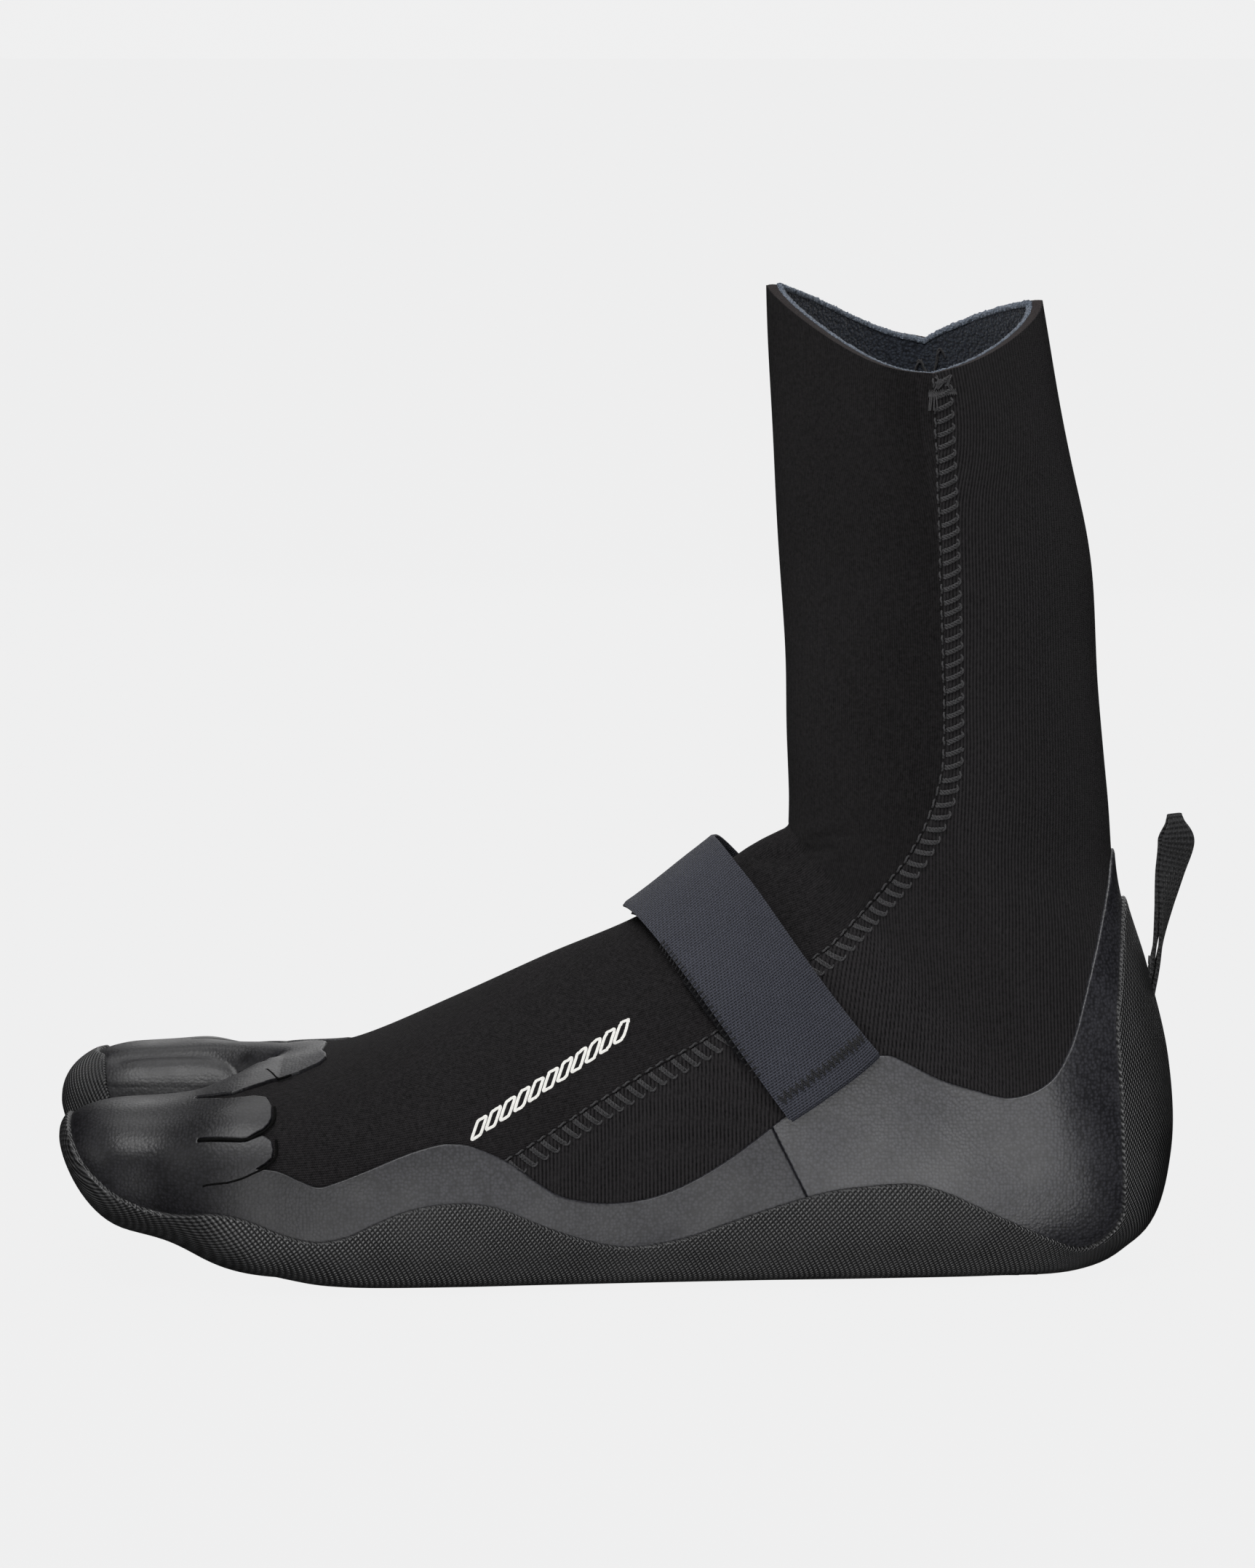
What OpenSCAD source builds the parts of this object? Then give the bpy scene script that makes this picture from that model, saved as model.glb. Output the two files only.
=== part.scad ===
// Split-toe neoprene boot, left foot.
// X runs from the toes (-) to the heel (+), -Y is the lateral side, Z is up.
// Every skin, rubber and webbing piece is a layer on one foot surface. The surface is a fan of
// rings: u counts the rings from the ball of the foot, round the ankle and up to the collar,
// and the angle a runs round a ring, 0 on the instep and shin, 90 lateral, 180 on the sole and
// heel, -90 medial. A layer is given by its distances d from the outer face of the neoprene.

/* [Fabric] */
// Thickness of the neoprene panels
neoprene_t = 3; // [2:0.5:3.5]
// Thickness of the fleece lining
lining_t = 0.9; // [0.5:0.1:1]
// Thickness of the insole
insole_t = 2.8; // [1.5:0.1:4]
// Width of the cover-stitched band over each seam
seam_w = 6; // [4:0.5:8]
// Height of the cover-stitched band
seam_t = 0.5; // [0.3:0.1:0.6]

/* [Rubber] */
// Thickness of the pebbled rand
rand_t = 0.7; // [0.5:0.1:0.8]
// Thickness of the outsole
outsole_t = 1.5; // [1:0.1:1.6]
// Height of the flat tread pads
tread_t = 0.85; // [0.5:0.05:0.85]
// Distance of a tread pad's edge from the side of the foot
tread_inset = 12; // [8:1:20]

/* [Collar] */
// Depth of the notch in the lateral side of the collar
lateral_dip = 20; // [5:1:25]
// Depth of the notch in the medial side of the collar
medial_dip = 15; // [5:1:25]

/* [Strap] */
// Thickness of the webbing
webbing_t = 1.5; // [1:0.1:1.6]
// Height of the arch of the strap flap over the instep
arch_h = 4.2; // [2:0.1:6]
// Angle round the ring at which the flap's end lies on the lateral side
flap_end = 78; // [60:1:80]
// Angle round the ring of the fold that the flap turns on
fold_angle = -56; // [-70:1:-45]

/* [Heel loop] */
// Width of the heel loop's tape
loop_w = 10; // [8:0.5:14]
// Thickness of the heel loop's tape
loop_t = 1.4; // [1:0.1:2]
// Height of the heel loop above the slit that it comes out of
loop_h = 50; // [40:1:60]

/* [Hidden] */

neoprene_colour = "#2b2d31";
knit_colour = "#303238";
lining_colour = "#3d4550";
rubber_colour = "#26272a";
outsole_colour = "#1f2022";
webbing_colour = "#3a3e46";
thread_colour = "#17181a";
print_colour = "#d8d8d4";

// Rings of the foot surface: x and z at the instep or shin, x and z at the sole or heel, half
// width lateral and medial, height of the widest line, squareness at the sole and at the instep
RINGS = [
    [-88, 53, -88, 6, 46.5, 46.5, 17, 0.6, 0.2],
    [-68, 58.7, -68, 4.3, 47, 46.5, 18, 0.6, 0.05],
    [-44, 69.3, -44, 4, 45, 44, 18, 0.6, -0.05],
    [-20, 80.4, -18, 4, 41.5, 39, 19, 0.6, -0.1],
    [2, 89.8, 8, 4, 38, 35, 20, 0.6, -0.12],
    [20, 100.8, 36, 4, 36.5, 33, 21, 0.55, -0.15],
    [32, 108.2, 64, 4, 35.5, 33, 23, 0.5, -0.15],
    [38, 111.5, 92, 4, 34, 33, 26, 0.4, -0.15],
    [40, 112.5, 114, 5, 33, 33, 30, 0.3, -0.1],
    [41, 113.5, 130.5, 12.3, 32.5, 32.5, 38, 0.2, -0.1],
    [41, 114.6, 136.5, 31, 32, 32, 48, 0.1, -0.1],
    [41, 117, 135.5, 54, 31, 31, 50, 0, -0.1],
    [41, 122, 130.2, 77, 30, 30, 48, -0.05, -0.1],
    [40.8, 129, 123.5, 98, 29, 29, 45, -0.1, -0.1],
    [40.4, 140, 121, 121, 28.5, 28.5, 42, -0.1, -0.1],
    [39.8, 158, 118, 149, 28.5, 28.5, 40, -0.15, -0.15],
    [38.6, 183, 115.2, 180, 28.5, 28.5, 39, -0.2, -0.2],
    [37, 210, 110.5, 207, 28, 28, 38, -0.25, -0.25],
    [34.7, 250.5, 104.2, 246.8, 27, 27, 36, -0.3, -0.3]];

// Toe pockets: x, y of the middle, half width, z below, z above, exponent of the outline
SMALL_TOES = [
    [-88, -20, 28, 6, 53, 3.2],
    [-98, -19.6, 26.5, 7.8, 49, 2.8],
    [-108, -19, 24.8, 10.4, 46.6, 2.6],
    [-118, -17.8, 22, 14.2, 45.2, 2.4]];
BIG_TOE = [
    [-88, 28, 19, 6, 54, 3.2],
    [-98, 28.6, 17.9, 8, 55, 2.8],
    [-108, 28.6, 17.2, 10.8, 54.8, 2.6],
    [-118, 27.8, 16.4, 14, 53.8, 2.5]];
SMALL_TIP = [-140, -13.8, 36.2];
BIG_TIP = [-142.2, 24.2, 38.8];

// Seam line seen from the side, as x at each height z
SEAM = [[10, -130], [22, -90], [27, -60], [34, -30], [45, -11], [56, 7], [65, 22.5], [81, 45], [88, 52.5],
    [100, 63], [112.5, 72.5], [127, 77.5], [142, 79], [178, 78.5], [232, 76]];
// Upper edge of the rand seen from the side, as z at each x
RAND_EDGE = [[-110, 32], [-88, 32.5], [-77, 28.5], [-66, 32], [-46, 38.5], [-38, 38],
    [-29, 34], [-18, 26], [-4, 23], [5, 24], [14, 27.5], [25, 34], [36, 42], [56, 56], [64, 59.5],
    [78, 53], [87, 50], [96, 48.5], [105, 52], [111, 61], [115, 73.5], [119, 88], [123, 102],
    [130, 120]];
// Upper edge of the outsole seen from the side, as z at each x
OUTSOLE_EDGE = [[-110, 16], [-88, 13.8], [-75, 15], [-64, 19], [-44, 24], [-33, 23],
    [-18, 17], [-8, 13.5], [2, 12.5], [14, 14], [25, 18], [36, 21.5], [49, 25], [71, 27.5],
    [80, 25], [89, 21], [106, 13], [114, 11.5], [119, 13], [122, 19], [123, 49], [124, 68],
    [126, 90], [128, 97], [140, 110]];

SPLIT_TOP = -9;
SPLIT_SOLE = 186;
SPLIT_SHARE = 0.78;
BLEND_LEN = 24;
TIP_POWER = 2.4;
TIP_POWER_LOW = 1.6;
GAP = 0.35;
LINING_GAP = 0.6;
SEAM_GAP = 1.2;
ROW = 0.6;
COLUMN = 10;
TOE_ROW = 0.2;
TOE_COLUMNS = 24;

FOOT_TOP = 12.6;
FLEX_FROM = 12.65;
FLEX_TO = 14.35;
SHAFT_FROM = 14.4;
TOE_CUFF = 0.8;
COLLAR = 18;
COLLAR_RISE = 40;
BUTT = 5.4;

lining_out = -neoprene_t - LINING_GAP;
lining_in = lining_out - lining_t;
insole_out = lining_in - GAP;
rand_in = GAP;
rand_out = rand_in + rand_t;
sole_in = rand_out + GAP;
sole_out = sole_in + outsole_t;
base_in = seam_t + 0.25;
base_out = base_in + 1.25;
hook_in = base_out + 0.1;
hook_out = hook_in + 0.6;
flap_in = hook_out + 0.1;
flap_out = flap_in + webbing_t;

function mix(a, b, t) = a + (b - a) * t;
function smooth(t) = let(s = max(0, min(1, t))) s * s * (3 - 2 * s);

// Row of a table at the real-valued index v, on a Catmull-Rom curve through the rows
function row(table, v) =
    let(n = len(table) - 1, s = max(0, min(n, v)), i = min(floor(s), n - 1), t = s - i,
        a = table[max(i - 1, 0)], b = table[i], c = table[i + 1], d = table[min(i + 2, n)])
    (2 * b + (c - a) * t + (2 * a - 5 * b + 4 * c - d) * t * t
        + (3 * b - a - 3 * c + d) * t * t * t) / 2;

// Root of a rising function between lo and hi
function root(f, lo, hi, steps = 12) =
    let(m = (lo + hi) / 2)
    steps == 0 ? m : f(m) < 0 ? root(f, m, hi, steps - 1) : root(f, lo, m, steps - 1);

// Point of the foot surface
function foot(u, a) =
    let(s = row(RINGS, u), c = cos(a), n = sin(a), top = (1 + c) / 2,
        square = mix(s[7], s[8], top), axis = [s[0] - s[2], s[1] - s[3]],
        length = norm(axis), dir = axis / length, along = c * (1 + 0.6 * square * n * n),
        h = s[6] + (along > 0 ? length - s[6] : s[6]) * along,
        half = n > 0 ? s[4] : s[5])
    [s[2] + dir[0] * h, -n * half * (1 + square * c * c), s[3] + dir[1] * h];

// The same point moved out by d along the surface's normal
function skin(u, a, d) =
    let(along = foot(u + 0.02, a) - foot(u - 0.02, a), round = foot(u, a + 0.5) - foot(u, a - 0.5),
        n = cross(round, along))
    foot(u, a) + n * d / norm(n);

// Point of a toe pocket: v is 0 at its root, 1 where the tip begins and 2 at the tip, and q runs
// once round from the top of the split, out over the toes and under them, then up the inner wall
function toe(small, v, q) =
    let(s = row(small ? SMALL_TOES : BIG_TOE, min(v, 1) * 3), tip = small ? SMALL_TIP : BIG_TIP,
        outer = q <= SPLIT_SHARE,
        r = outer ? q / SPLIT_SHARE : (q - SPLIT_SHARE) / (1 - SPLIT_SHARE),
        t = outer ? 45 + 270 * r : 315 + 90 * r, e = 2 / s[5], side = small ? 1 : -1,
        y = s[1] + side * s[2] * sign(cos(t)) * pow(abs(cos(t)), e),
        z = (s[3] + s[4]) / 2 + (s[4] - s[3]) / 2 * sign(sin(t)) * pow(abs(sin(t)), e),
        split = small ? SPLIT_SOLE : SPLIT_SOLE - 360,
        cut = outer ? foot(0, mix(SPLIT_TOP, split, r)) : mix(foot(0, split), foot(0, SPLIT_TOP), r),
        w = smooth((SMALL_TOES[0][0] - s[0]) / BLEND_LEN), k = 90 * max(0, v - 1),
        shrink = pow(cos(k), 2 / TIP_POWER), reach = pow(sin(k), 2 / TIP_POWER),
        high = mix(cut[2], z, w))
    [mix(s[0], tip[0], reach), mix(tip[1], mix(cut[1], y, w), shrink),
        mix(tip[2], high, high > tip[2] ? shrink : pow(cos(k), 2 / TIP_POWER_LOW))];

function toe_skin(small, v, q, d) =
    let(e = v > 1.9 ? 0.01 : 0.03, along = toe(small, v + e, q) - toe(small, max(0, v - e), q),
        round = toe(small, v, wrap(q + 0.012)) - toe(small, v, wrap(q - 0.012)),
        n = small ? cross(along, round) : cross(round, along))
    toe(small, v, q) + n * d / norm(n);
function wrap(q) = q - floor(q);

// Angle at which a ring crosses the seam line, an edge line or a height
function seam_angle(u) = root(function(a) let(p = foot(u, a)) p[0] - lookup(p[2], SEAM), 20, 150);
function edge_angle(u, edge) =
    root(function(a) let(p = foot(u, a)) lookup(p[0], edge) - p[2], 0, 179.9);
function height_angle(u, z) = root(function(a) z - foot(u, a)[2], 0, 170);

// Ring at which the collar is cut, for the angle a and a share r of the shaft's height
function collar_cut(a, r) =
    let(n = sin(a), dip = n > 0 ? lateral_dip * pow(n, cos(a) > 0 ? 1.3 : 1.05)
        : medial_dip * pow(-n, 2.3))
    mix(SHAFT_FROM, COLLAR - dip / COLLAR_RISE, r);

// Closed shell between an outer and an inner grid of points. The rows follow the surface's length
// and the columns go round it. A closed shell joins its last column to its first, and a tip
// closes its last row onto one outer and one inner point.
module shell(outer, inner, closed = false, tips = []) {
    rows = len(outer);
    cols = len(outer[0]);
    last = closed ? cols - 1 : cols - 2;
    inside = rows * cols;
    capped = len(tips) > 0;
    points = concat([for (r = outer) each r], [for (r = inner) each r], tips);
    function at(i, j) = i * cols + j % cols;
    function two(a, b, c, d) = [[a, b, c], [a, c, d]];
    faces = concat(
        [for (i = [0 : rows - 2], j = [0 : last])
            each two(at(i, j), at(i + 1, j), at(i + 1, j + 1), at(i, j + 1))],
        [for (i = [0 : rows - 2], j = [0 : last])
            each two(inside + at(i, j), inside + at(i, j + 1), inside + at(i + 1, j + 1),
                inside + at(i + 1, j))],
        [for (j = [0 : last])
            each two(at(0, j), at(0, j + 1), inside + at(0, j + 1), inside + at(0, j))],
        capped ? [] : [for (j = [0 : last])
            each two(at(rows - 1, j + 1), at(rows - 1, j), inside + at(rows - 1, j),
                inside + at(rows - 1, j + 1))],
        closed ? [] : [for (i = [0 : rows - 2])
            each two(at(i + 1, 0), at(i, 0), inside + at(i, 0), inside + at(i + 1, 0))],
        closed ? [] : [for (i = [0 : rows - 2])
            each two(at(i, cols - 1), at(i + 1, cols - 1), inside + at(i + 1, cols - 1),
                inside + at(i, cols - 1))],
        !capped ? [] : [for (j = [0 : last]) each [
            [at(rows - 1, j), 2 * inside, at(rows - 1, j + 1)],
            [inside + at(rows - 1, j), inside + at(rows - 1, j + 1), 2 * inside + 1]]],
        !capped || closed ? [] : concat(
            two(2 * inside, at(rows - 1, 0), inside + at(rows - 1, 0), 2 * inside + 1),
            two(at(rows - 1, cols - 1), 2 * inside, 2 * inside + 1, inside + at(rows - 1, cols - 1))));
    polyhedron(points, faces);
}

// Angles of a row of points from lo to hi: n even steps, then the common columns that every
// layer shares between the angles first and last, then n even steps. Where the row is too narrow
// for them, the common columns are squeezed towards its middle.
function columns(lo, hi, first, last, n) =
    let(middle = (lo + hi) / 2, squeeze = min(1, 0.94 * (middle - lo) / (middle - first)),
        shared = [for (a = [first : COLUMN : last]) middle + (a - middle) * squeeze])
    concat([for (i = [0 : n - 1]) mix(lo, shared[0], i / n)], shared,
        [for (i = [1 : n]) mix(shared[len(shared) - 1], hi, i / n)]);
function ring_columns() = [for (a = [-75 : COLUMN : 275]) a];
function rear_columns(edge) = columns(edge, 360 - edge, 105, 255, 4);
function sole_columns(edge) = columns(edge, 360 - edge, 135, 225, 3);
function front_columns(edge) = columns(-edge, edge, -75, 75, 3);

// Layer of the foot surface from d_in to d_out, with rows at the rings of the list us and columns
// at the angles that angles(u) gives. ring(u, a) may move a point to another ring.
module layer(us, angles, d_in, d_out, closed = false, ring = function(u, a) u) {
    function grid(d) = [for (u = us) [for (a = angles(u)) let(v = ring(u, a))
        skin(v, a, is_function(d) ? d(v, a) : d)]];
    shell(grid(d_out), grid(d_in), closed);
}

// Rings from one to another with all rows that the layers share between them
function rings(from, to) = concat([from],
    [for (k = [ceil((from + 0.1) / ROW) : floor((to - 0.1) / ROW)]) k * ROW], [to]);
function steps(from, to, n) = [for (i = [0 : n]) mix(from, to, i / n)];

// Layer between the rings us and the angles lo(u) and hi(u), in even columns
module band(us, lo, hi, cols, d_in, d_out) {
    layer(us, function(u) steps(lo(u), hi(u), cols), d_in, d_out);
}

// Layer of a toe pocket over the rows from to to and the columns first to last. All the columns
// make it a sleeve, and the last row, at v = 2, is the tip.
module toe_layer(small, from, to, first, last, d_in, d_out) {
    closed = last - first == TOE_COLUMNS;
    end = closed ? last - 1 : last;
    order = small ? [first : end] : [end : -1 : first];
    capped = to == 2;
    top = capped ? 2 - TOE_ROW : to;
    vs = concat([from], [for (v = [ceil((from + 0.02) / TOE_ROW) * TOE_ROW : TOE_ROW : top + 0.01]) v]);
    function grid(d) = [for (v = vs) [for (j = order) toe_skin(small, v, j / TOE_COLUMNS, d)]];
    tip = small ? SMALL_TIP : BIG_TIP;
    shell(grid(d_in), grid(d_out), closed,
        capped ? [tip - [d_in, 0, 0], tip - [d_out, 0, 0]] : []);
}

// Front and rear neoprene panels, meeting along the two seams
module front_panel(from, to) {
    color(knit_colour)
    layer(rings(from, to), function(u) front_columns(seam_angle(u) - SEAM_GAP), -neoprene_t, 0);
}
module rear_panel(from, to) {
    color(neoprene_colour)
    layer(rings(from, to), function(u) rear_columns(seam_angle(u)), -neoprene_t, 0);
}
module lining(from, to) {
    color(lining_colour)
    layer(rings(from, to), function(u) ring_columns(), lining_in, lining_out, true);
}

module front_panel_foot() front_panel(0.01, FOOT_TOP);
module rear_panel_foot() rear_panel(0.01, FOOT_TOP);
module front_panel_flex() front_panel(FLEX_FROM, FLEX_TO);
module rear_panel_flex() rear_panel(FLEX_FROM, FLEX_TO);
module lining_foot() lining(0.01, FOOT_TOP);
module lining_flex() lining(FLEX_FROM, FLEX_TO);

// The shaft's layers run from its lower edge to the collar's cut
shaft_rings = steps(SHAFT_FROM, COLLAR, 7);
function to_collar(u, a) = collar_cut(a, (u - SHAFT_FROM) / (COLLAR - SHAFT_FROM));
module front_panel_shaft() {
    color(knit_colour)
    layer(shaft_rings, function(u) front_columns(seam_angle(u) - SEAM_GAP), -neoprene_t, 0,
        ring = function(u, a) to_collar(u, a));
}
module rear_panel_shaft() {
    color(neoprene_colour)
    layer(shaft_rings, function(u) rear_columns(seam_angle(u)), -neoprene_t, 0,
        ring = function(u, a) to_collar(u, a));
}
module lining_shaft() {
    color(lining_colour)
    layer(shaft_rings, function(u) ring_columns(), lining_in, lining_out, true,
        ring = function(u, a) to_collar(u, a));
}

module toe_pocket(small) {
    color(knit_colour)
    toe_layer(small, 0.01, 2, 0, TOE_COLUMNS, -neoprene_t, 0);
}
module toe_lining(small) {
    color(lining_colour)
    toe_layer(small, 0.01, 2, 0, TOE_COLUMNS, lining_in, lining_out);
}

// Insole on the inside of the lining, along the sole only
module insole() {
    color(lining_colour)
    layer(rings(0.05, 8.4), function(u) [for (a = [135 : COLUMN : 225]) a],
        insole_out - insole_t, insole_out);
}

// Cover-stitched band over a seam, on the lateral side (side 1) or the medial side (side -1)
module seam(side, from, to) {
    half = seam_w / 2 / 32 * 180 / PI;
    color(thread_colour)
    band(rings(from, to), function(u) side * seam_angle(u) - half,
        function(u) side * seam_angle(u) + half, 3, 0.1, seam_t);
}

// Bar tack at the notch of the collar
module bar_tack(side) {
    mid = side * seam_angle(COLLAR);
    low = collar_cut(mid, 1) - 0.16;
    color(thread_colour)
    band(steps(low, low + 0.09, 2), function(u) mid - 9, function(u) mid + 9, 5,
        seam_t + 0.1, seam_t + 0.6);
}

// Rubber skin up to the rand's edge line
module rand(from, to) {
    color(rubber_colour)
    layer(rings(from, to), function(u) rear_columns(edge_angle(u, RAND_EDGE)), rand_in, rand_out);
}
module toe_rand() rand(0.02, BUTT);
module heel_rand() rand(BUTT + 0.05, 12.6);

// Rubber sleeve over the front of a toe pocket, with the part of the rand behind it
module toe_sleeve(small) {
    color(rubber_colour) {
        toe_layer(small, TOE_CUFF + 0.02, 2, 0, TOE_COLUMNS, rand_in, rand_out);
        toe_layer(small, 0.02, TOE_CUFF, small ? 9 : 10, small ? 19 : 18, rand_in, rand_out);
    }
}

// U-shaped rubber patch round the root of the toe slot
module slot_overlay() {
    color(rubber_colour) {
        band([0.02, 0.2, 0.36, 0.5], function(u) -25, function(u) 15, 8, rand_in, rand_out);
        for (small = [true, false])
            toe_layer(small, 0.02, TOE_CUFF, 0, 4, rand_in, rand_out);
    }
}

// Outsole with its side wall and the counter that climbs the heel
module outsole() {
    color(outsole_colour)
    layer(rings(0.02, 12.2), function(u) sole_columns(edge_angle(u, OUTSOLE_EDGE)), sole_in, sole_out);
}
module toe_bumper(small) {
    color(outsole_colour)
    toe_layer(small, 0.02, 2, small ? 11 : 12, small ? 19 : 18, sole_in, sole_out);
}

// Flat pad under the outsole, following the outline of the foot between two rings
module tread(from, to) {
    steps = 14;
    lateral = [for (i = [0 : steps]) let(s = row(RINGS, mix(from, to, i / steps)))
        [s[2], -(s[4] - tread_inset) * end_round(i / steps)]];
    medial = [for (i = [steps : -1 : 0]) let(s = row(RINGS, mix(from, to, i / steps)))
        [s[2], (s[5] - tread_inset) * end_round(i / steps)]];
    color(outsole_colour)
    linear_extrude(tread_t) polygon(concat(lateral, medial));
}
function end_round(t) = 0.55 + 0.45 * sqrt(1 - pow(2 * t - 1, 4));
module tread_forefoot() tread(0.7, 3.3);
module tread_heel() tread(5.9, 8.3);

// Rings of the two edges of the strap, for the angle a
function strap_front(a) = 3.93 + 0.009 * abs(a) + 0.000145 * a * a;
function strap_back(a) = 5.43 + 0.011 * abs(a) + 0.00017 * a * a;
module strap(a0, a1, cols, d_in, d_out, t0 = 0, t1 = 1, skew = 0) {
    layer(steps(t0, t1, 5), function(t) steps(a0, a1 - skew * t, cols), d_in, d_out,
        ring = function(t, a) mix(strap_front(a), strap_back(a), t));
}
function arch(u, a) =
    let(t = (u - strap_front(a)) / (strap_back(a) - strap_front(a)))
    (1 - 0.6 * t) * arch_h * exp(-pow(a / 32, 2));
function arched(d) = function(u, a) d + arch(u, a);
module strap_base() {
    color(webbing_colour)
    strap(-40, 66, 20, base_in, base_out, 0.04, 0.96, 6);
}
module strap_anchor() {
    color(webbing_colour)
    strap(-66, fold_angle - 1.5, 2, base_in, base_out + 1);
}
module strap_flap() {
    color(webbing_colour)
    strap(fold_angle, flap_end, 24, arched(flap_in), arched(flap_out), 0, 1, 10);
}
module hook_patch() {
    color(thread_colour)
    strap(50, flap_end - 5, 5, arched(hook_in), arched(hook_out), 0.08, 0.92, 10);
}
module strap_end_tab() {
    color(webbing_colour)
    strap(flap_end - 12, flap_end - 0.5, 3, arched(flap_out + 0.1), arched(flap_out + 1),
        0.01, 0.99, 10);
}
module strap_stitch() {
    color(thread_colour)
    strap(flap_end - 11, flap_end - 8, 3, arched(flap_out + 1.15), arched(flap_out + 1.8),
        0.1, 0.9, 10);
}

// Row of plain slanted bars printed on the lateral side
module print_mark() {
    color(print_colour)
    for (k = [0 : 7]) {
        u = 2.1 + 0.22 * k;
        z = 44 + 2.5 * k;
        band(steps(u, u + 0.12, 2), function(w) height_angle(w, z + 4 + 12 * (w - u)),
            function(w) height_angle(w, z - 4 + 12 * (w - u)), 3, 0.15, 0.4);
    }
}

// Heel loop: tape folded into a narrow drop that stands in the slit of the heel counter
LOOP_AT = [136, 74];
LOOP_EYE = 3.7;
module loop_outline(grow) {
    lean = 3;
    translate([lean, loop_h - LOOP_EYE]) circle(r = LOOP_EYE + grow, $fn = 48);
    polygon([[-loop_t - grow, 0], [loop_t + grow, 0],
        [lean + LOOP_EYE + grow, loop_h - LOOP_EYE], [lean - LOOP_EYE - grow, loop_h - LOOP_EYE]]);
}
module pull_loop() {
    color(webbing_colour)
    translate([LOOP_AT[0], loop_w / 2, LOOP_AT[1]]) rotate([90, 0, 0])
    linear_extrude(loop_w) difference() {
        loop_outline(0);
        translate([0, 2]) loop_outline(-loop_t);
    }
}
module pull_loop_stitch() {
    color(thread_colour)
    translate([LOOP_AT[0] - loop_t - 0.4, -3, LOOP_AT[1] + 2]) cube([0.35, 6, 2]);
}

front_panel_foot();
rear_panel_foot();
toe_pocket(true);  // small_toes_pocket
toe_pocket(false);  // big_toe_pocket
lining_foot();
toe_lining(true);  // lining_small_toes
toe_lining(false);  // lining_big_toe
insole();
toe_rand();
heel_rand();
toe_sleeve(true);  // small_toes_rand
toe_sleeve(false);  // big_toe_rand
slot_overlay();
outsole();
toe_bumper(true);  // small_toes_bumper
toe_bumper(false);  // big_toe_bumper
tread_forefoot();
tread_heel();
seam(1, 3, FOOT_TOP);  // lateral_seam_foot
seam(-1, 3, FOOT_TOP);  // medial_seam_foot
strap_base();
strap_anchor();
print_mark();
front_panel_flex();
rear_panel_flex();
lining_flex();
seam(1, FLEX_FROM, FLEX_TO);  // lateral_seam_flex
seam(-1, FLEX_FROM, FLEX_TO);  // medial_seam_flex
front_panel_shaft();
rear_panel_shaft();
lining_shaft();
seam(1, SHAFT_FROM, 17.3);  // lateral_seam_shaft
seam(-1, SHAFT_FROM, 17.4);  // medial_seam_shaft
bar_tack(1);  // lateral_bar_tack
bar_tack(-1);  // medial_bar_tack
strap_flap();
hook_patch();
strap_end_tab();
strap_stitch();
pull_loop();
pull_loop_stitch();
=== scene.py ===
"""Looks of a split-toe neoprene boot, left foot: knit panels, rubber rand and outsole, strap and loop.

Every layer is cut from one triangle mesh of the foot, whose shape repeats the design's tables in
millimetres. Lengths are millimetres until to_object() makes a Blender object in metres.
"""
import math

import bpy
import mathutils
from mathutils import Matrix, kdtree
import numpy as np


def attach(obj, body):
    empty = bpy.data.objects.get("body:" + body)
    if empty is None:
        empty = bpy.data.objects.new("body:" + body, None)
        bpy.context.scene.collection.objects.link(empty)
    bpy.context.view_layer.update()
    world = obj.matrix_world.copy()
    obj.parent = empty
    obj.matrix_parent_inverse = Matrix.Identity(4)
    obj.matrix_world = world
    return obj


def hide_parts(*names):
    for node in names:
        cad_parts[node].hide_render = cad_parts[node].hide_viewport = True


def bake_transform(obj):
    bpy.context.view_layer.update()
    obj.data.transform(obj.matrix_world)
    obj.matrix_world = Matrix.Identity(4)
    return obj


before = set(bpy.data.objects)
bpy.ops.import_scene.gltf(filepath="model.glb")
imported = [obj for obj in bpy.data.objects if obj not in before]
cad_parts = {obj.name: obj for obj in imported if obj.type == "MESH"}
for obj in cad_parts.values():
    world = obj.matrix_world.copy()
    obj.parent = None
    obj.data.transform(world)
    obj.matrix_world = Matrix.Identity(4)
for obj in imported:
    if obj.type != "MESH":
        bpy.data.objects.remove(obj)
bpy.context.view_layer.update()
rng = np.random.default_rng(7)

# ---------------------------------------------------------------- foot surface

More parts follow.
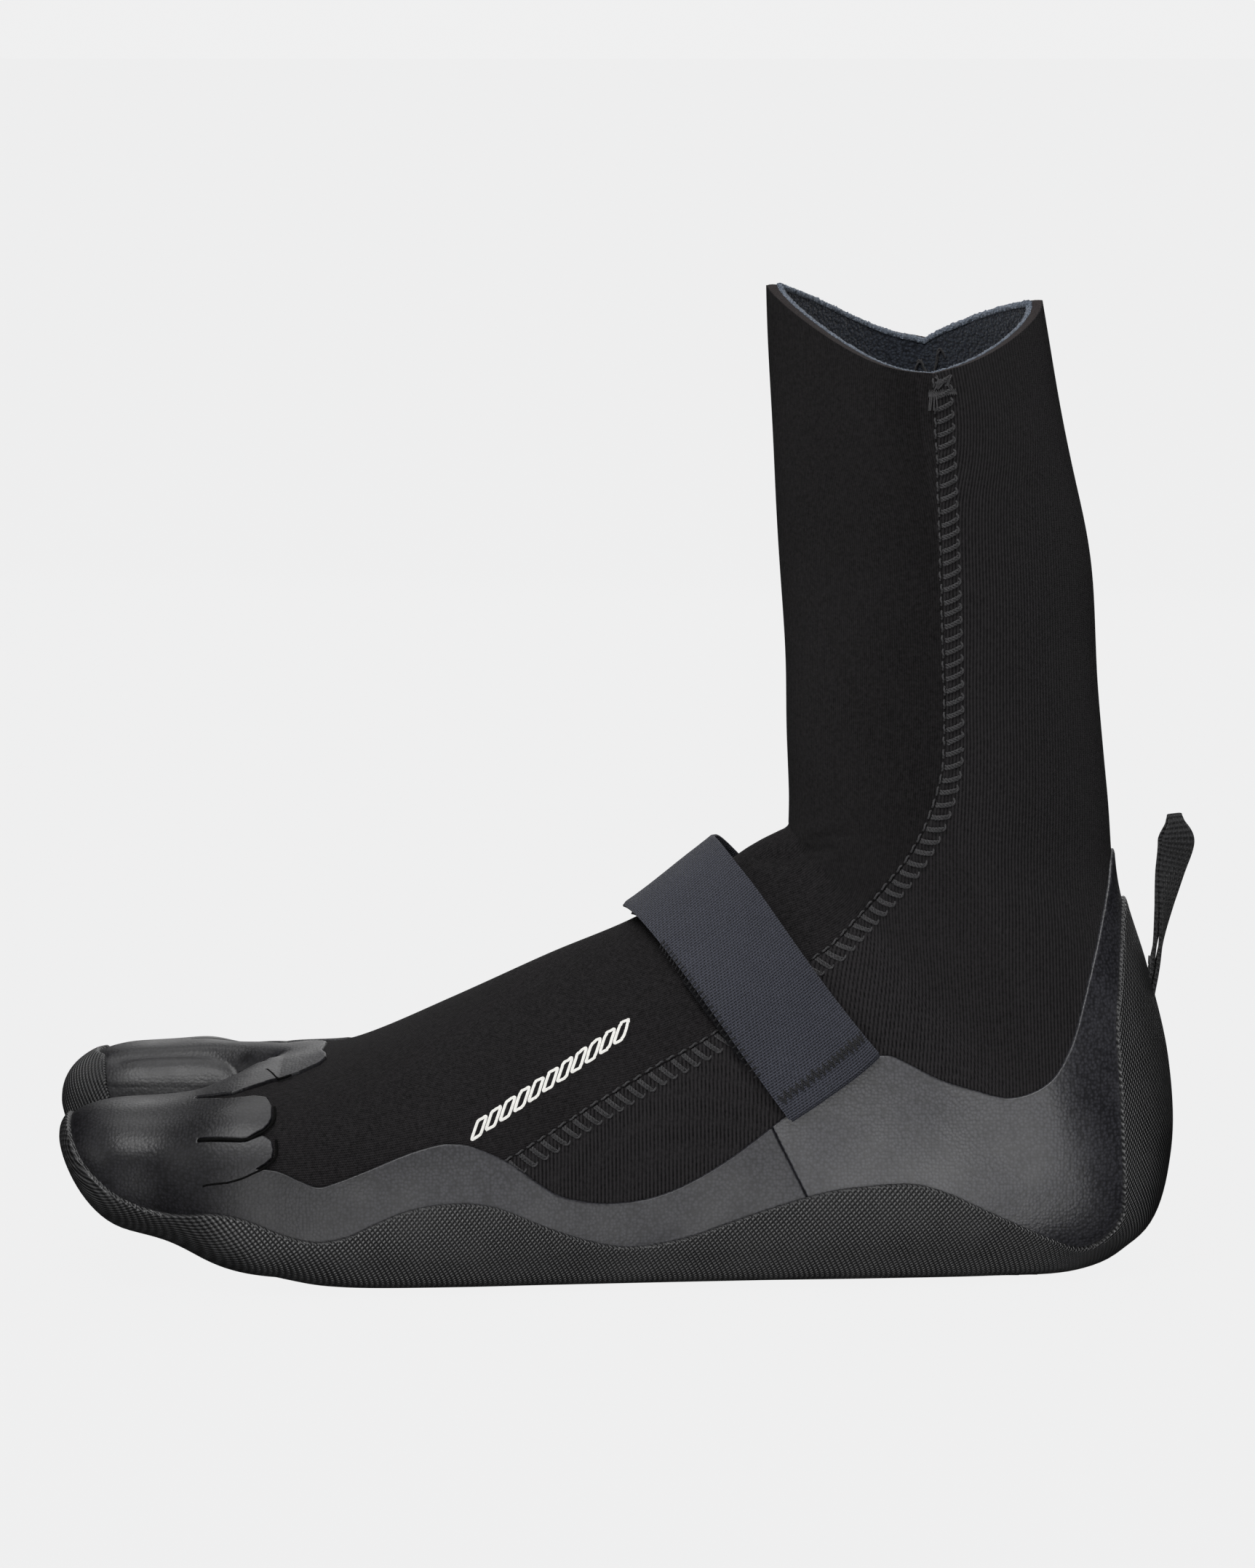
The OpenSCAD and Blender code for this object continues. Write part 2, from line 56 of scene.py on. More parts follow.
# x, z at the instep or shin; x, z at the sole or heel; half width lateral, medial; height of the
# widest line; squareness at the sole and at the instep
RINGS = np.array([
    (-88, 53.0, -88, 5.0, 47, 47, 17, .60, .20), (-68, 58.7, -68, 3.3, 47.5, 47, 18, .60, .05),
    (-44, 69.3, -44, 3, 45.5, 44, 18, .60, -.05), (-20, 80.4, -18, 3, 42, 39, 19, .60, -.10),
    (2, 89.8, 8, 3, 38.5, 35, 20, .60, -.12), (20, 100.8, 36, 3, 36.5, 33, 21, .55, -.15),
    (32, 108.2, 64, 3, 35.5, 33, 23, .50, -.15), (38, 111.5, 92, 3, 34.5, 33, 26, .40, -.15),
    (40, 112.5, 114, 4, 33.5, 33, 30, .30, -.10), (41, 113.5, 131, 11.5, 33, 33, 38, .20, -.10),
    (41, 114.6, 137, 31, 32, 32, 48, .10, -.10), (41, 117, 136, 54, 31, 31, 50, .0, -.10),
    (41, 122, 130.5, 77, 30, 30, 48, -.05, -.10), (40.8, 129, 124.2, 98, 29, 29, 45, -.10, -.10),
    (40.4, 140, 122, 121, 28.5, 28.5, 42, -.10, -.10),
    (39.8, 158, 119.2, 149, 28.5, 28.5, 40, -.15, -.15),
    (38.6, 183, 116.6, 180, 28.5, 28.5, 39, -.20, -.20),
    (37, 210, 112, 207, 28, 28, 38, -.25, -.25),
    (34.7, 250.5, 104.9, 246.8, 27, 27, 36, -.30, -.30)])
# Toe pockets: x, y of the middle, half width, z below, z above, exponent of the outline
SMALL_TOES = np.array([
    (-88, -20, 28, 5, 53, 3.0), (-98, -19.2, 27, 6.8, 49, 2.7),
    (-108, -18.2, 25.6, 9.4, 46.6, 2.5), (-118, -16.8, 22.6, 13.5, 45.2, 2.35)])
BIG_TOE = np.array([
    (-88, 28, 19, 5, 54, 3.0), (-98, 28.3, 18.2, 7.2, 53.8, 2.8),
    (-108, 28.2, 17.8, 10.0, 53.6, 2.6), (-118, 27.4, 17.0, 13.2, 52.8, 2.6)])
TIP_FROM = -118
SLOT_ROOT = (-89, 8)
SMALL_TIP = np.array((-141.9, -14, 36.8))
BIG_TIP = np.array((-144.6, 24.5, 39))
SPLIT_TOP = -9
SPLIT_SOLE = 186
SHAFT_FROM = 14.4
COLLAR = 18
COLLAR_RISE = 40
LATERAL_DIP = 20
MEDIAL_DIP = 15


def row(table, v):
    """Row of a table at the real-valued index v, on a Catmull-Rom curve through the rows."""
    last = len(table) - 1
    s = np.clip(v, 0, last)
    i = np.minimum(np.floor(s).astype(int), last - 1)
    t = (s - i)[..., None]
    a, b, c, d = (table[np.clip(i + k, 0, last)] for k in (-1, 0, 1, 2))
    return (2 * b + (c - a) * t + (2 * a - 5 * b + 4 * c - d) * t**2
            + (3 * b - a - 3 * c + d) * t**3) / 2


def smooth(t):
    """Smooth step from 0 to 1."""
    t = np.clip(t, 0, 1)
    return t * t * (3 - 2 * t)


def foot(u, a):
    """Point of the foot surface at ring u and angle a: 0 instep, 90 lateral, 180 sole or heel."""
    u, a = np.broadcast_arrays(np.asarray(u, float), np.radians(a))
    s = np.moveaxis(row(RINGS, u), -1, 0)
    c, n = np.cos(a), np.sin(a)
    top = (1 + c) / 2
    square = s[7] * (1 - top) + s[8] * top
    dx, dz = s[0] - s[2], s[1] - s[3]
    length = np.hypot(dx, dz)
    along = c * (1 + 0.6 * square * n * n)
    h = (s[6] + np.where(along > 0, length - s[6], s[6]) * along) / length
    half = np.where(n > 0, s[4], s[5])
    return np.stack([s[2] + dx * h, -n * half * (1 + square * c * c), s[3] + dz * h], -1)


def unit(v):
    """Vectors scaled to length 1."""
    return v / np.maximum(np.linalg.norm(v, axis=-1, keepdims=True), 1e-12)


def normal_at(u, a):
    """Outward normal of the foot surface."""
    return unit(np.cross(foot(u, a + 0.5) - foot(u, a - 0.5), foot(u + 0.02, a) - foot(u - 0.02, a)))


def skin(u, a, d):
    """Point of the foot surface moved out by d."""
    return foot(u, a) + normal_at(u, a) * np.asarray(d, float)[..., None]


def toe(small, v, arc, r):
    """Point of a toe pocket at v (0 root, 1 where the tip begins, 2 tip): on its outer arc, r runs
    from the top of the split over the toes to the sole; on its inner wall, r runs back up."""
    table, tip, side = (SMALL_TOES, SMALL_TIP, 1) if small else (BIG_TOE, BIG_TIP, -1)
    s = row(table, np.array(min(v, 1) * 3.0))
    t = np.radians(45 + 270 * r if arc else 315 + 90 * r)
    e = 2 / s[5]
    y = s[1] + side * s[2] * np.sign(np.cos(t)) * np.abs(np.cos(t)) ** e
    z = (s[3] + s[4]) / 2 + (s[4] - s[3]) / 2 * np.sign(np.sin(t)) * np.abs(np.sin(t)) ** e
    sole = SPLIT_SOLE if small else SPLIT_SOLE - 360
    ends = foot(0, np.array([sole, SPLIT_TOP]))
    root = foot(0, SPLIT_TOP + (sole - SPLIT_TOP) * r) if arc else (
        ends[0] + (ends[1] - ends[0]) * r[:, None])
    near = np.clip(1 - r / 0.16, 0, 1) + np.clip((r - 0.84) / 0.16, 0, 1) if arc else np.ones_like(r)
    w = smooth((-88 - s[0]) / (24 - 12 * smooth(near)))
    k = math.radians(90 * max(0, v - 1))
    shrink, reach = math.cos(k) ** (2 / 2.4), math.sin(k) ** (2 / 2.4)
    rise = root[:, 2] * (1 - w) + z * w - tip[2]
    return np.stack([np.full_like(r, s[0] + (tip[0] - s[0]) * reach),
                     tip[1] + (root[:, 1] * (1 - w) + y * w - tip[1]) * shrink,
                     tip[2] + rise * np.where(rise > 0, shrink, math.cos(k) ** (2 / 1.35))], -1)


# ---------------------------------------------------------------- triangle mesh with values

X, Y, Z = 0, 1, 2
NORMAL = slice(3, 6)
RING, ANGLE, FROM_TOP, FROM_SOLE, ALONG = 6, 7, 8, 9, 10
VALUES = 11
COLUMNS = 240
SPLIT_COLUMN = 130
HEEL_COLUMN = 126
LOW_ROWS = np.concatenate([np.arange(0, 1.99, 0.07), np.arange(2, 14.35, 0.1)])
SHAFT_ROWS = 46
WALL = 48


def running(points, axis):
    """Distance run along an axis of a grid of points."""
    step = np.linalg.norm(np.diff(points, axis=axis), axis=-1)
    return np.concatenate([np.zeros_like(step.take([0], axis)), np.cumsum(step, axis)], axis)


def quads(a, b, c, d):
    """Two triangles for each four corners."""
    a, b, c, d = (np.ravel(k) for k in (a, b, c, d))
    return np.concatenate([np.stack([a, b, c], 1), np.stack([a, c, d], 1)])


def normals(points, tris):
    """Normal at each point, weighted by the area of its triangles."""
    p = points[tris]
    n = np.cross(p[:, 1] - p[:, 0], p[:, 2] - p[:, 0])
    total = np.stack([sum(np.bincount(tris[:, k], n[:, i], len(points)) for k in range(3))
                      for i in range(3)], 1)
    return unit(total)


def relax(points, tris, weight, rounds):
    """Points drawn towards the mean of their neighbours, by their weight from 0 to 1."""
    e = np.concatenate([tris[:, [0, 1]], tris[:, [1, 2]], tris[:, [2, 0]]])
    e = np.concatenate([e, e[:, ::-1]])
    count = np.maximum(np.bincount(e[:, 0], minlength=len(points)), 1)
    for _ in range(rounds):
        mean = np.stack([np.bincount(e[:, 0], points[e[:, 1], i], len(points)) / count
                         for i in range(3)], 1)
        points = points + 0.5 * weight[:, None] * (mean - points)
    return points


def curve(points, n=12):
    """Smooth line through a few points, n steps for each of them."""
    points = np.array(points, float)
    return row(points, np.linspace(0, len(points) - 1, (len(points) - 1) * n + 1))


def line_distance(p, line):
    """Distance of points from a polyline in a plane."""
    a, b = line[:-1], line[1:]
    best = np.full(len(p), 1e9)
    for i, j in zip(a, b):
        d = j - i
        t = np.clip(((p - i) @ d) / max(d @ d, 1e-12), 0, 1)
        q = p - i - t[:, None] * d
        best = np.minimum(best, q[:, 0] ** 2 + q[:, 1] ** 2)
    return np.sqrt(best)


def inside(p, outline):
    """Signed distance from a closed outline in a plane, positive inside."""
    ring = np.vstack([outline, outline[:1]])
    odd = np.zeros(len(p), bool)
    for i, j in zip(ring[:-1], ring[1:]):
        if i[1] != j[1]:
            cross = i[0] + (p[:, 1] - i[1]) * (j[0] - i[0]) / (j[1] - i[1])
            odd ^= ((i[1] > p[:, 1]) != (j[1] > p[:, 1])) & (p[:, 0] < cross)
    return np.where(odd, 1, -1) * line_distance(p, ring)


def collar_ring(a):
    """Ring at which the collar is cut: dips on both sides, each with a small notch."""
    n, ahead = np.sin(np.radians(a)), np.cos(np.radians(a)) > 0
    lateral = LATERAL_DIP * np.clip(n, 0, 1) ** np.where(ahead, 1.3, 1.05)
    turn = (a + 360) % 360
    notch = 0.5 * np.exp(-np.abs(turn - 99) / 6) + 1.9 * np.exp(-np.abs(turn - 258) / 9)
    return COLLAR - (lateral + 0.9 * MEDIAL_DIP * np.clip(-n, 0, 1) ** 2.3 + notch) / COLLAR_RISE


def foot_mesh():
    """The whole outer face as points with values, and triangles."""
    low = LOW_ROWS
    high = np.linspace(0, 1, SHAFT_ROWS)
    a = SPLIT_TOP + 1.5 * np.arange(COLUMNS)
    u = np.concatenate([np.repeat(low[:, None], COLUMNS, 1),
                        SHAFT_FROM + high[:, None] * (collar_ring(a) - SHAFT_FROM)])
    grid = foot(u, a[None, :])
    rows = len(grid)
    top = running(np.concatenate([grid, grid[:, :1]], 1), 1)
    total = top[:, -1:]
    medial = np.arange(COLUMNS) > SPLIT_COLUMN
    heel = top[:, HEEL_COLUMN:HEEL_COLUMN + 1]
    main = np.zeros((rows, COLUMNS, VALUES))
    main[..., :3] = grid
    main[..., RING] = u
    main[..., ANGLE] = np.where(a > 180, a - 360, a)
    main[..., FROM_TOP] = np.where(medial, top[:, :-1] - total, top[:, :-1])
    main[..., FROM_SOLE] = top[:, :-1] - heel
    main[..., ALONG] = running(grid, 0)
    ids = np.arange(rows * COLUMNS).reshape(rows, COLUMNS)
    after = np.roll(ids, -1, 1)
    tris = [quads(ids[:-1], after[:-1], after[1:], ids[1:])]
    data = [main.reshape(-1, VALUES)]
    count = rows * COLUMNS

    def add(block):
        nonlocal count
        data.append(block)
        count += len(block)
        return np.arange(count - len(block), count)

    wall_r = np.linspace(0, 1, WALL + 1)[1:-1]
    line = np.zeros((WALL - 1, VALUES))
    line[:, :3] = toe(True, 0, False, wall_r)
    wall = add(line)
    vs = np.concatenate([np.linspace(0, 1, 25), 1 + np.linspace(0, 1, 24)[1:] ** 0.92])
    for small in (True, False):
        outer = np.arange(SPLIT_COLUMN + 1) if small else -np.arange(COLUMNS - SPLIT_COLUMN + 1) % COLUMNS
        r = np.linspace(0, 1, len(outer))
        n = len(outer)
        rings = np.array([np.concatenate([toe(small, v, True, r), toe(small, v, False, wall_r)])
                          for v in vs])
        side = 1 if small else -1
        arc = running(rings[:, :n], 1)
        back = running(np.concatenate([rings[:, :1], rings[:, :n - 1:-1]], 1), 1)[:, :0:-1]
        block = np.zeros((len(vs), n + WALL - 1, VALUES))
        block[..., :3] = rings
        block[..., RING] = -vs[:, None]
        block[..., FROM_TOP] = np.concatenate([side * arc, -side * back], 1)
        block[..., FROM_SOLE] = side * np.concatenate([arc - arc[:, -1:], back[:, :1] + 1 - back], 1)
        block[..., ALONG] = -running(rings, 0)
        grid_ids = np.empty((len(vs), n + WALL - 1), int)
        grid_ids[0] = np.concatenate([outer, wall])
        grid_ids[1:-1] = add(block[1:-1].reshape(-1, VALUES)).reshape(len(vs) - 2, -1)
        grid_ids[-1] = add(block[-1, :1])[0]
        nxt = np.roll(grid_ids, -1, 1)
        pair = (grid_ids[:-1], nxt[:-1], nxt[1:], grid_ids[1:])
        tris.append(quads(*(pair[::-1] if small else pair)))
    data, tris = np.concatenate(data), np.concatenate(tris)
    tris = tris[(tris[:, 0] != tris[:, 1]) & (tris[:, 1] != tris[:, 2]) & (tris[:, 2] != tris[:, 0])]
    return data, tris


# x and z of the side seams, x and y of the raised edge of the toe slot, and the ankle's folds as a
# line in x and z, depth, width and the x where they fade
SEAM = curve([(-92, 5), (-60, 20), (-30, 34.5), (-11, 46), (7, 56.4), (22.4, 65), (45, 81.5), (52.6, 86.9),
              (63.4, 99), (72.6, 112.4), (78.1, 127), (79.3, 141.6), (78.4, 177.7), (76.9, 213.5),
              (75.5, 240), (75, 262)])
SLOT_CREST = curve([(-131, 17.4), (-122, 17.6), (-113, 17.4), (-105.5, 16), (-99, 11.5), (-95, 4),
                    (-93.5, -3)])
FOLDS = [(curve([(34, 106), (41, 106.6), (45, 108), (51, 109.4)]), 1.5, 1.7, (47, 57)),
         (curve([(47, 111.3), (52, 112.8), (57, 113.8)]), 0.8, 1.5, (53, 60))]


def shape_details(data, tris):
    """Rounds the root of the toe slot, presses in the ankle's folds and adds soft unevenness."""
    p = data[:, :3]
    slot = np.hypot(p[:, X] - SLOT_ROOT[0], (p[:, Y] - SLOT_ROOT[1]) * 1.2)
    weight = smooth(1.45 - slot / 9) * (p[:, X] < -78)
    p = relax(p, tris, weight, 26)
    p = relax(p, tris, np.exp(-(((p[:, X] - TIP_FROM) / 7) ** 2)), 30)
    n = normals(p, tris)
    bulge = np.exp(-(((p[:, X] + 89) / 12) ** 2) - ((p[:, Y] - 24) / 13) ** 2) * (p[:, Z] > 35)
    p = p + (0, 0, 1) * (2.4 * bulge)[:, None]
    n = normals(p, tris)
    press = line_distance(p[:, [X, Y]], SLOT_CREST) / 1.5
    over = (p[:, Z] > 44) & (p[:, X] < -84)
    p = p - n * (over * (1.0 * np.exp(-press**2) - 0.4 * np.exp(-(press / 3) ** 2)))[:, None]
    n = normals(p, tris)
    side = p[:, [X, Z]]
    for line, depth, width, (start, end) in FOLDS:
        fade = 1 - smooth((p[:, X] - start) / (end - start))
        press = line_distance(side, line) / width
        p = p - n * (depth * fade * (np.exp(-press**2) - 0.35 * np.exp(-(press / 3) ** 2)))[:, None]
    high = smooth((p[:, Z] - 118) / 40)
    wave = (np.sin(p[:, Z] / 17 + p[:, X] / 31) + np.sin(p[:, Z] / 29 - p[:, Y] / 13 + 2)
            + 0.6 * np.sin(p[:, Z] / 9.5 + p[:, Y] / 9 + 1))
    p = p + n * (0.32 * high * wave)[:, None]
    data[:, :3] = p
    data[:, NORMAL] = normals(p, tris)
    return data


def split(data, tris, where):
    """Splits edges: where(a, b) gives each edge's share from a to b, or nan to leave it whole."""
    e = np.sort(tris[:, [0, 1, 1, 2, 2, 0]].reshape(-1, 2), 1)
    keys, back = np.unique(e[:, 0] * len(data) + e[:, 1], return_inverse=True)
    a, b = keys // len(data), keys % len(data)
    t = where(a, b)
    cut = ~np.isnan(t)
    ids = np.full(len(keys), -1)
    ids[cut] = len(data) + np.arange(cut.sum())
    t = t[cut][:, None]
    data = np.concatenate([data, data[a[cut]] * (1 - t) + data[b[cut]] * t])
    mid = ids[back.reshape(-1, 3)]
    count = (mid >= 0).sum(1)
    out = [tris[count == 0]]
    for k in range(3):
        i, j, l = k, (k + 1) % 3, (k + 2) % 3
        s = (count == 1) & (mid[:, i] >= 0)
        a, b, c, m = tris[s, i], tris[s, j], tris[s, l], mid[s, i]
        out += [np.stack([a, m, c], 1), np.stack([m, b, c], 1)]
        s = (count == 2) & (mid[:, i] < 0)
        a, b, c, m, q = tris[s, i], tris[s, j], tris[s, l], mid[s, j], mid[s, l]
        out += [np.stack([c, q, m], 1), np.stack([q, a, b], 1), np.stack([q, b, m], 1)]
    s = count == 3
    (a, b, c), (m, n, q) = tris[s].T, mid[s].T
    out += [np.stack(k, 1) for k in ((a, m, q), (m, b, n), (q, n, c), (m, n, q))]
    return data, np.concatenate(out)


def refine(data, tris, width, longest):
    """Halves the edges longer than longest near the edge of a field, the last value."""
    def where(a, b):
        f = np.abs(data[:, -1])
        length = np.linalg.norm(data[a, :3] - data[b, :3], axis=1)
        near = np.minimum(f[a], f[b]) < width + 0.3 * length
        most = np.minimum(longest[a], longest[b]) if np.ndim(longest) else longest
        return np.where(near & (length > most), 0.5, np.nan)
    for _ in range(1 if np.ndim(longest) else 4):
        before = len(data)
        data, tris = split(data, tris, where)
        if len(data) == before:
            break
    return data, tris


def cut_at(data, tris, level):
    """Adds the line on which the last value equals level."""
    f = data[:, -1] - level
    f = np.where(np.abs(f) < 1e-3, 1e-3, f)

    def where(a, b):
        share = f[a] / np.where(f[a] == f[b], 1, f[a] - f[b])
        return np.where((f[a] > 0) != (f[b] > 0), share, np.nan)
    return split(data, tris, where)


def compact(data, tris):
    """Only the points that triangles use."""
    used = np.zeros(len(data), bool)
    used[tris] = True
    return data[used], (np.cumsum(used) - 1)[tris]


def select(mesh, keep):
    """Triangles of which any point is kept."""
    data, tris = mesh
    return compact(data, tris[keep[tris].any(1)])


def patch(mesh, field, low, high, bevel=0.5, drop=0.5, finest=None):
    """Closed layer where the field is positive, from low to high above the surface, with a
    rounded edge. field(data) gives a signed distance for each point."""
    data, tris = mesh
    data = np.concatenate([data, field(data)[:, None]], 1)
    data, tris = compact(data, tris[(data[:, -1][tris] > -4).all(1)])
    if finest:
        for _ in range(7 if callable(finest) else 3):
            data, tris = refine(data, tris, 1.2, finest(data) if callable(finest) else finest)
            data[:, -1] = field(data)
            data, tris = compact(data, tris[(data[:, -1][tris] > -3).all(1)])
    for level in (0, bevel * 0.35, bevel):
        data, tris = cut_at(data, tris, level)
        if level == 0:
            data, tris = compact(data, tris[data[tris, -1].mean(1) > 0])
    f = np.clip(data[:, -1] / bevel, 0, 1)
    n = unit(data[:, NORMAL])
    height = np.asarray(high(data) if callable(high) else high, float)
    height = height - drop * (height - low) * (1 - np.sqrt(1 - (1 - f) ** 2))
    outer = data[:, :3] + n * height[..., None] if height.ndim else data[:, :3] + n * height
    inner = data[:, :3] + n * low
    return closed(outer, inner, tris, data)


def closed(outer, inner, tris, data):
    """Solid between an outer and an inner face with the same triangles."""
    directed = tris[:, [0, 1, 1, 2, 2, 0]].reshape(-1, 2)
    key = directed[:, 0] * len(outer) + directed[:, 1]
    twin = directed[:, 1] * len(outer) + directed[:, 0]
    rim = directed[~np.isin(key, twin)]
    a, b = rim.T
    side = quads(b, a, a + len(outer), b + len(outer))
    faces = np.concatenate([tris, tris[:, ::-1] + len(outer), side])
    return np.concatenate([outer, inner]), faces, np.concatenate([data, data])


def to_object(name, points, faces, material, slot, body=None, replaces=(), uv=None, sharp=42):
    """Blender mesh object in metres from points in millimetres."""
    mesh = bpy.data.meshes.new(name)
    mesh.vertices.add(len(points))
    mesh.vertices.foreach_set("co", (np.asarray(points, float) / 1000).ravel())
    mesh.loops.add(faces.size)
    mesh.loops.foreach_set("vertex_index", faces.astype(np.int32).ravel())
    mesh.polygons.add(len(faces))
    mesh.polygons.foreach_set("loop_start", np.arange(0, faces.size, faces.shape[1], dtype=np.int32))
    mesh.update(calc_edges=True)
    if uv is not None:
        layer = mesh.uv_layers.new(name="UVMap")
        layer.data.foreach_set("uv", (np.asarray(uv, float)[faces.ravel()] / 1000).ravel())
    mesh.polygons.foreach_set("use_smooth", np.ones(len(faces), bool))
    mesh.set_sharp_from_angle(angle=math.radians(sharp))
    mesh.validate()
    obj = bpy.data.objects.new(name, mesh)
    bpy.context.scene.collection.objects.link(obj)
    mesh.materials.append(material)
    if body:
        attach(obj, body)
    if replaces:
        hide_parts(*replaces)
    return obj


def across_ankle(obj):
    """Bakes the piece's placement into its points."""
    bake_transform(obj)


# ---------------------------------------------------------------- materials

class Graph:
    """A material's nodes, with short ways to add them."""

    def __init__(self, name, colour, roughness, specular=0.5, **inputs):
        self.material = bpy.data.materials.new(name)
        self.material.use_nodes = True
        self.tree = self.material.node_tree
        self.shader = self.tree.nodes["Principled BSDF"]
        self.shader.inputs["Base Color"].default_value = (*colour, 1)
        self.shader.inputs["Roughness"].default_value = roughness
        self.shader.inputs["Specular IOR Level"].default_value = specular
        for key, value in inputs.items():
            self.shader.inputs[key.replace("_", " ")].default_value = value

    def node(self, kind, output=0, settings=None, **inputs):
        node = self.tree.nodes.new("ShaderNode" + kind)
        for key, value in (settings or {}).items():
            setattr(node, key, value)
        for key, value in inputs.items():
            socket = node.inputs[int(key[1:]) if key[1:].isdigit() else key.replace("_", " ")]
            if isinstance(value, bpy.types.NodeSocket):
                self.tree.links.new(value, socket)
            else:
                socket.default_value = value
        return node.outputs[output]

    def math(self, operation, a, b=0.0):
        return self.node("Math", settings={"operation": operation}, i0=a, i1=b)

    def parts(self, vector):
        """The three coordinates of a vector."""
        return self.node("SeparateXYZ", 0, None, Vector=vector).node.outputs

    def uv(self):
        """The first two texture coordinates."""
        return self.parts(self.node("UVMap"))[:2]

    def position(self):
        return self.node("TexCoord", "Object")

    def wave(self, coordinate, pitch):
        """Sine of a coordinate with the pitch in millimetres."""
        return self.math("SINE", self.math("MULTIPLY", coordinate, 2000 * math.pi / pitch))

    def noise(self, vector, size, detail=2.0, roughness=0.5):
        """Noise with blobs of about size millimetres."""
        return self.node("TexNoise", 0, None, Vector=vector, Scale=1000 / size, Detail=detail,
                         Roughness=roughness)

    def mix(self, share, a, b):
        return self.node("Mix", 2, {"data_type": "RGBA"}, i0=share, i6=(*a, 1) if isinstance(a, tuple) else a,
                         i7=(*b, 1) if isinstance(b, tuple) else b)

    def remap(self, value, low, high, to_low, to_high):
        return self.node("MapRange", 0, None, Value=value, From_Min=low, From_Max=high, To_Min=to_low,
                         To_Max=to_high)

    def add(self, *terms):
        total = terms[0]
        for term in terms[1:]:
            total = self.math("ADD", total, term)
        return total

    def scale(self, value, factor):
        return self.math("MULTIPLY", value, factor)

    def colour(self, socket):
        self.tree.links.new(socket, self.shader.inputs["Base Color"])

    def roughness(self, socket):
        self.tree.links.new(socket, self.shader.inputs["Roughness"])

    def bump(self, height, depth, strength=1.0):
        """Bump of the given depth in millimetres."""
        out = self.node("Bump", 0, None, Height=height, Distance=depth / 1000, Strength=strength)
        self.tree.links.new(out, self.shader.inputs["Normal"])


def knit(name, dark, light, rib, course, rib_share, depth):
    """Fine knit with wales of the pitch rib and courses of the pitch course."""
    g = Graph(name, dark, 0.9, 0.1, Sheen_Weight=0.025, Sheen_Roughness=0.4)
    across, along = g.uv()
    wale = g.math("ABSOLUTE", g.wave(across, 2 * rib))
    stitch = g.wave(g.add(along, g.scale(across, 0.55)), course)
    fuzz = g.noise(g.position(), 0.5, 3, 0.7)
    speck = g.remap(g.noise(g.position(), 0.9, 2, 0.6), 0.3, 0.7, -1, 1)
    height = g.add(g.scale(wale, rib_share), g.scale(stitch, 0.22 * (1.3 - rib_share)), g.scale(fuzz, 0.7))
    g.bump(height, depth)
    worn = g.noise(g.position(), 26, 2)
    shade = g.add(g.scale(wale, 0.75 * rib_share), g.scale(stitch, 0.14), g.scale(fuzz, 0.75),
                  g.scale(speck, 0.22), g.scale(worn, 0.2))
    g.colour(g.mix(g.remap(shade, 0.25, 1.2, 0, 1), dark, light))
    return g.material


def pebbled(name, dark, light, size, roughness, specular, depth, rear=None):
    """Rubber with small raised pebbles and slightly uneven gloss; its colour is painted paler on the pebble
    tops and darker between them as painted highlight and shade, and, given rear colours, painted paler
    towards the rear for the light on the heel.
    """
    g = Graph(name, dark, roughness, specular)
    place = g.position()
    cell = g.node("TexVoronoi", 0, {"feature": "F1"}, Vector=place, Scale=1000 / size, Randomness=0.7)
    dome = g.math("SUBTRACT", 1.0, cell)
    cloud = g.noise(place, 14, 3)
    g.bump(g.add(dome, g.scale(g.noise(place, 0.25, 1), 0.15)), depth)
    # Colour follows the pebbles' height: painted highlight on their tops and painted shade between them, with
    # random tone from the cloud.
    share = g.remap(g.add(dome, g.scale(cloud, 0.5)), 0.55, 1.2, 0, 1)
    tone = g.mix(share, dark, light)
    # Painted light: towards the rear the colour turns to the paler rear colours, standing in for the light
    # the heel catches.
    if rear:
        along = g.add(g.parts(place)[0], g.scale(cloud, 0.02))
        tone = g.mix(g.remap(along, -0.085, -0.03, 0, 1), tone, g.mix(share, *rear))
    g.colour(tone)
    g.roughness(g.remap(cloud, 0.3, 0.7, roughness - 0.07, roughness + 0.09))
    return g.material


def woven_rubber(name, dark, light, pitch, roughness, depth):
    """Rubber moulded with a fine basket of short diagonal bars."""
    g = Graph(name, dark, roughness, 0.8)
    parts = g.parts(g.position())
    out = g.math("ABSOLUTE", parts[1])
    across, along = g.math("SUBTRACT", parts[0], out), g.add(parts[2], g.scale(out, 0.5))
    one = g.wave(g.add(across, g.scale(along, 0.8)), pitch)
    two = g.wave(g.add(across, g.scale(along, -0.9)), pitch * 1.05)
    basket = g.scale(g.add(one, two), 0.62)
    cloud = g.noise(g.position(), 11, 3)
    fine = g.noise(g.position(), 0.3, 1)
    g.bump(g.add(basket, g.scale(fine, 0.4)), depth)
    g.colour(g.mix(g.remap(g.add(g.scale(basket, 0.45), g.scale(cloud, 0.5)), -0.1, 0.85, 0, 1), dark, light))
    g.roughness(g.remap(cloud, 0.3, 0.7, roughness - 0.05, roughness + 0.07))
    return g.material


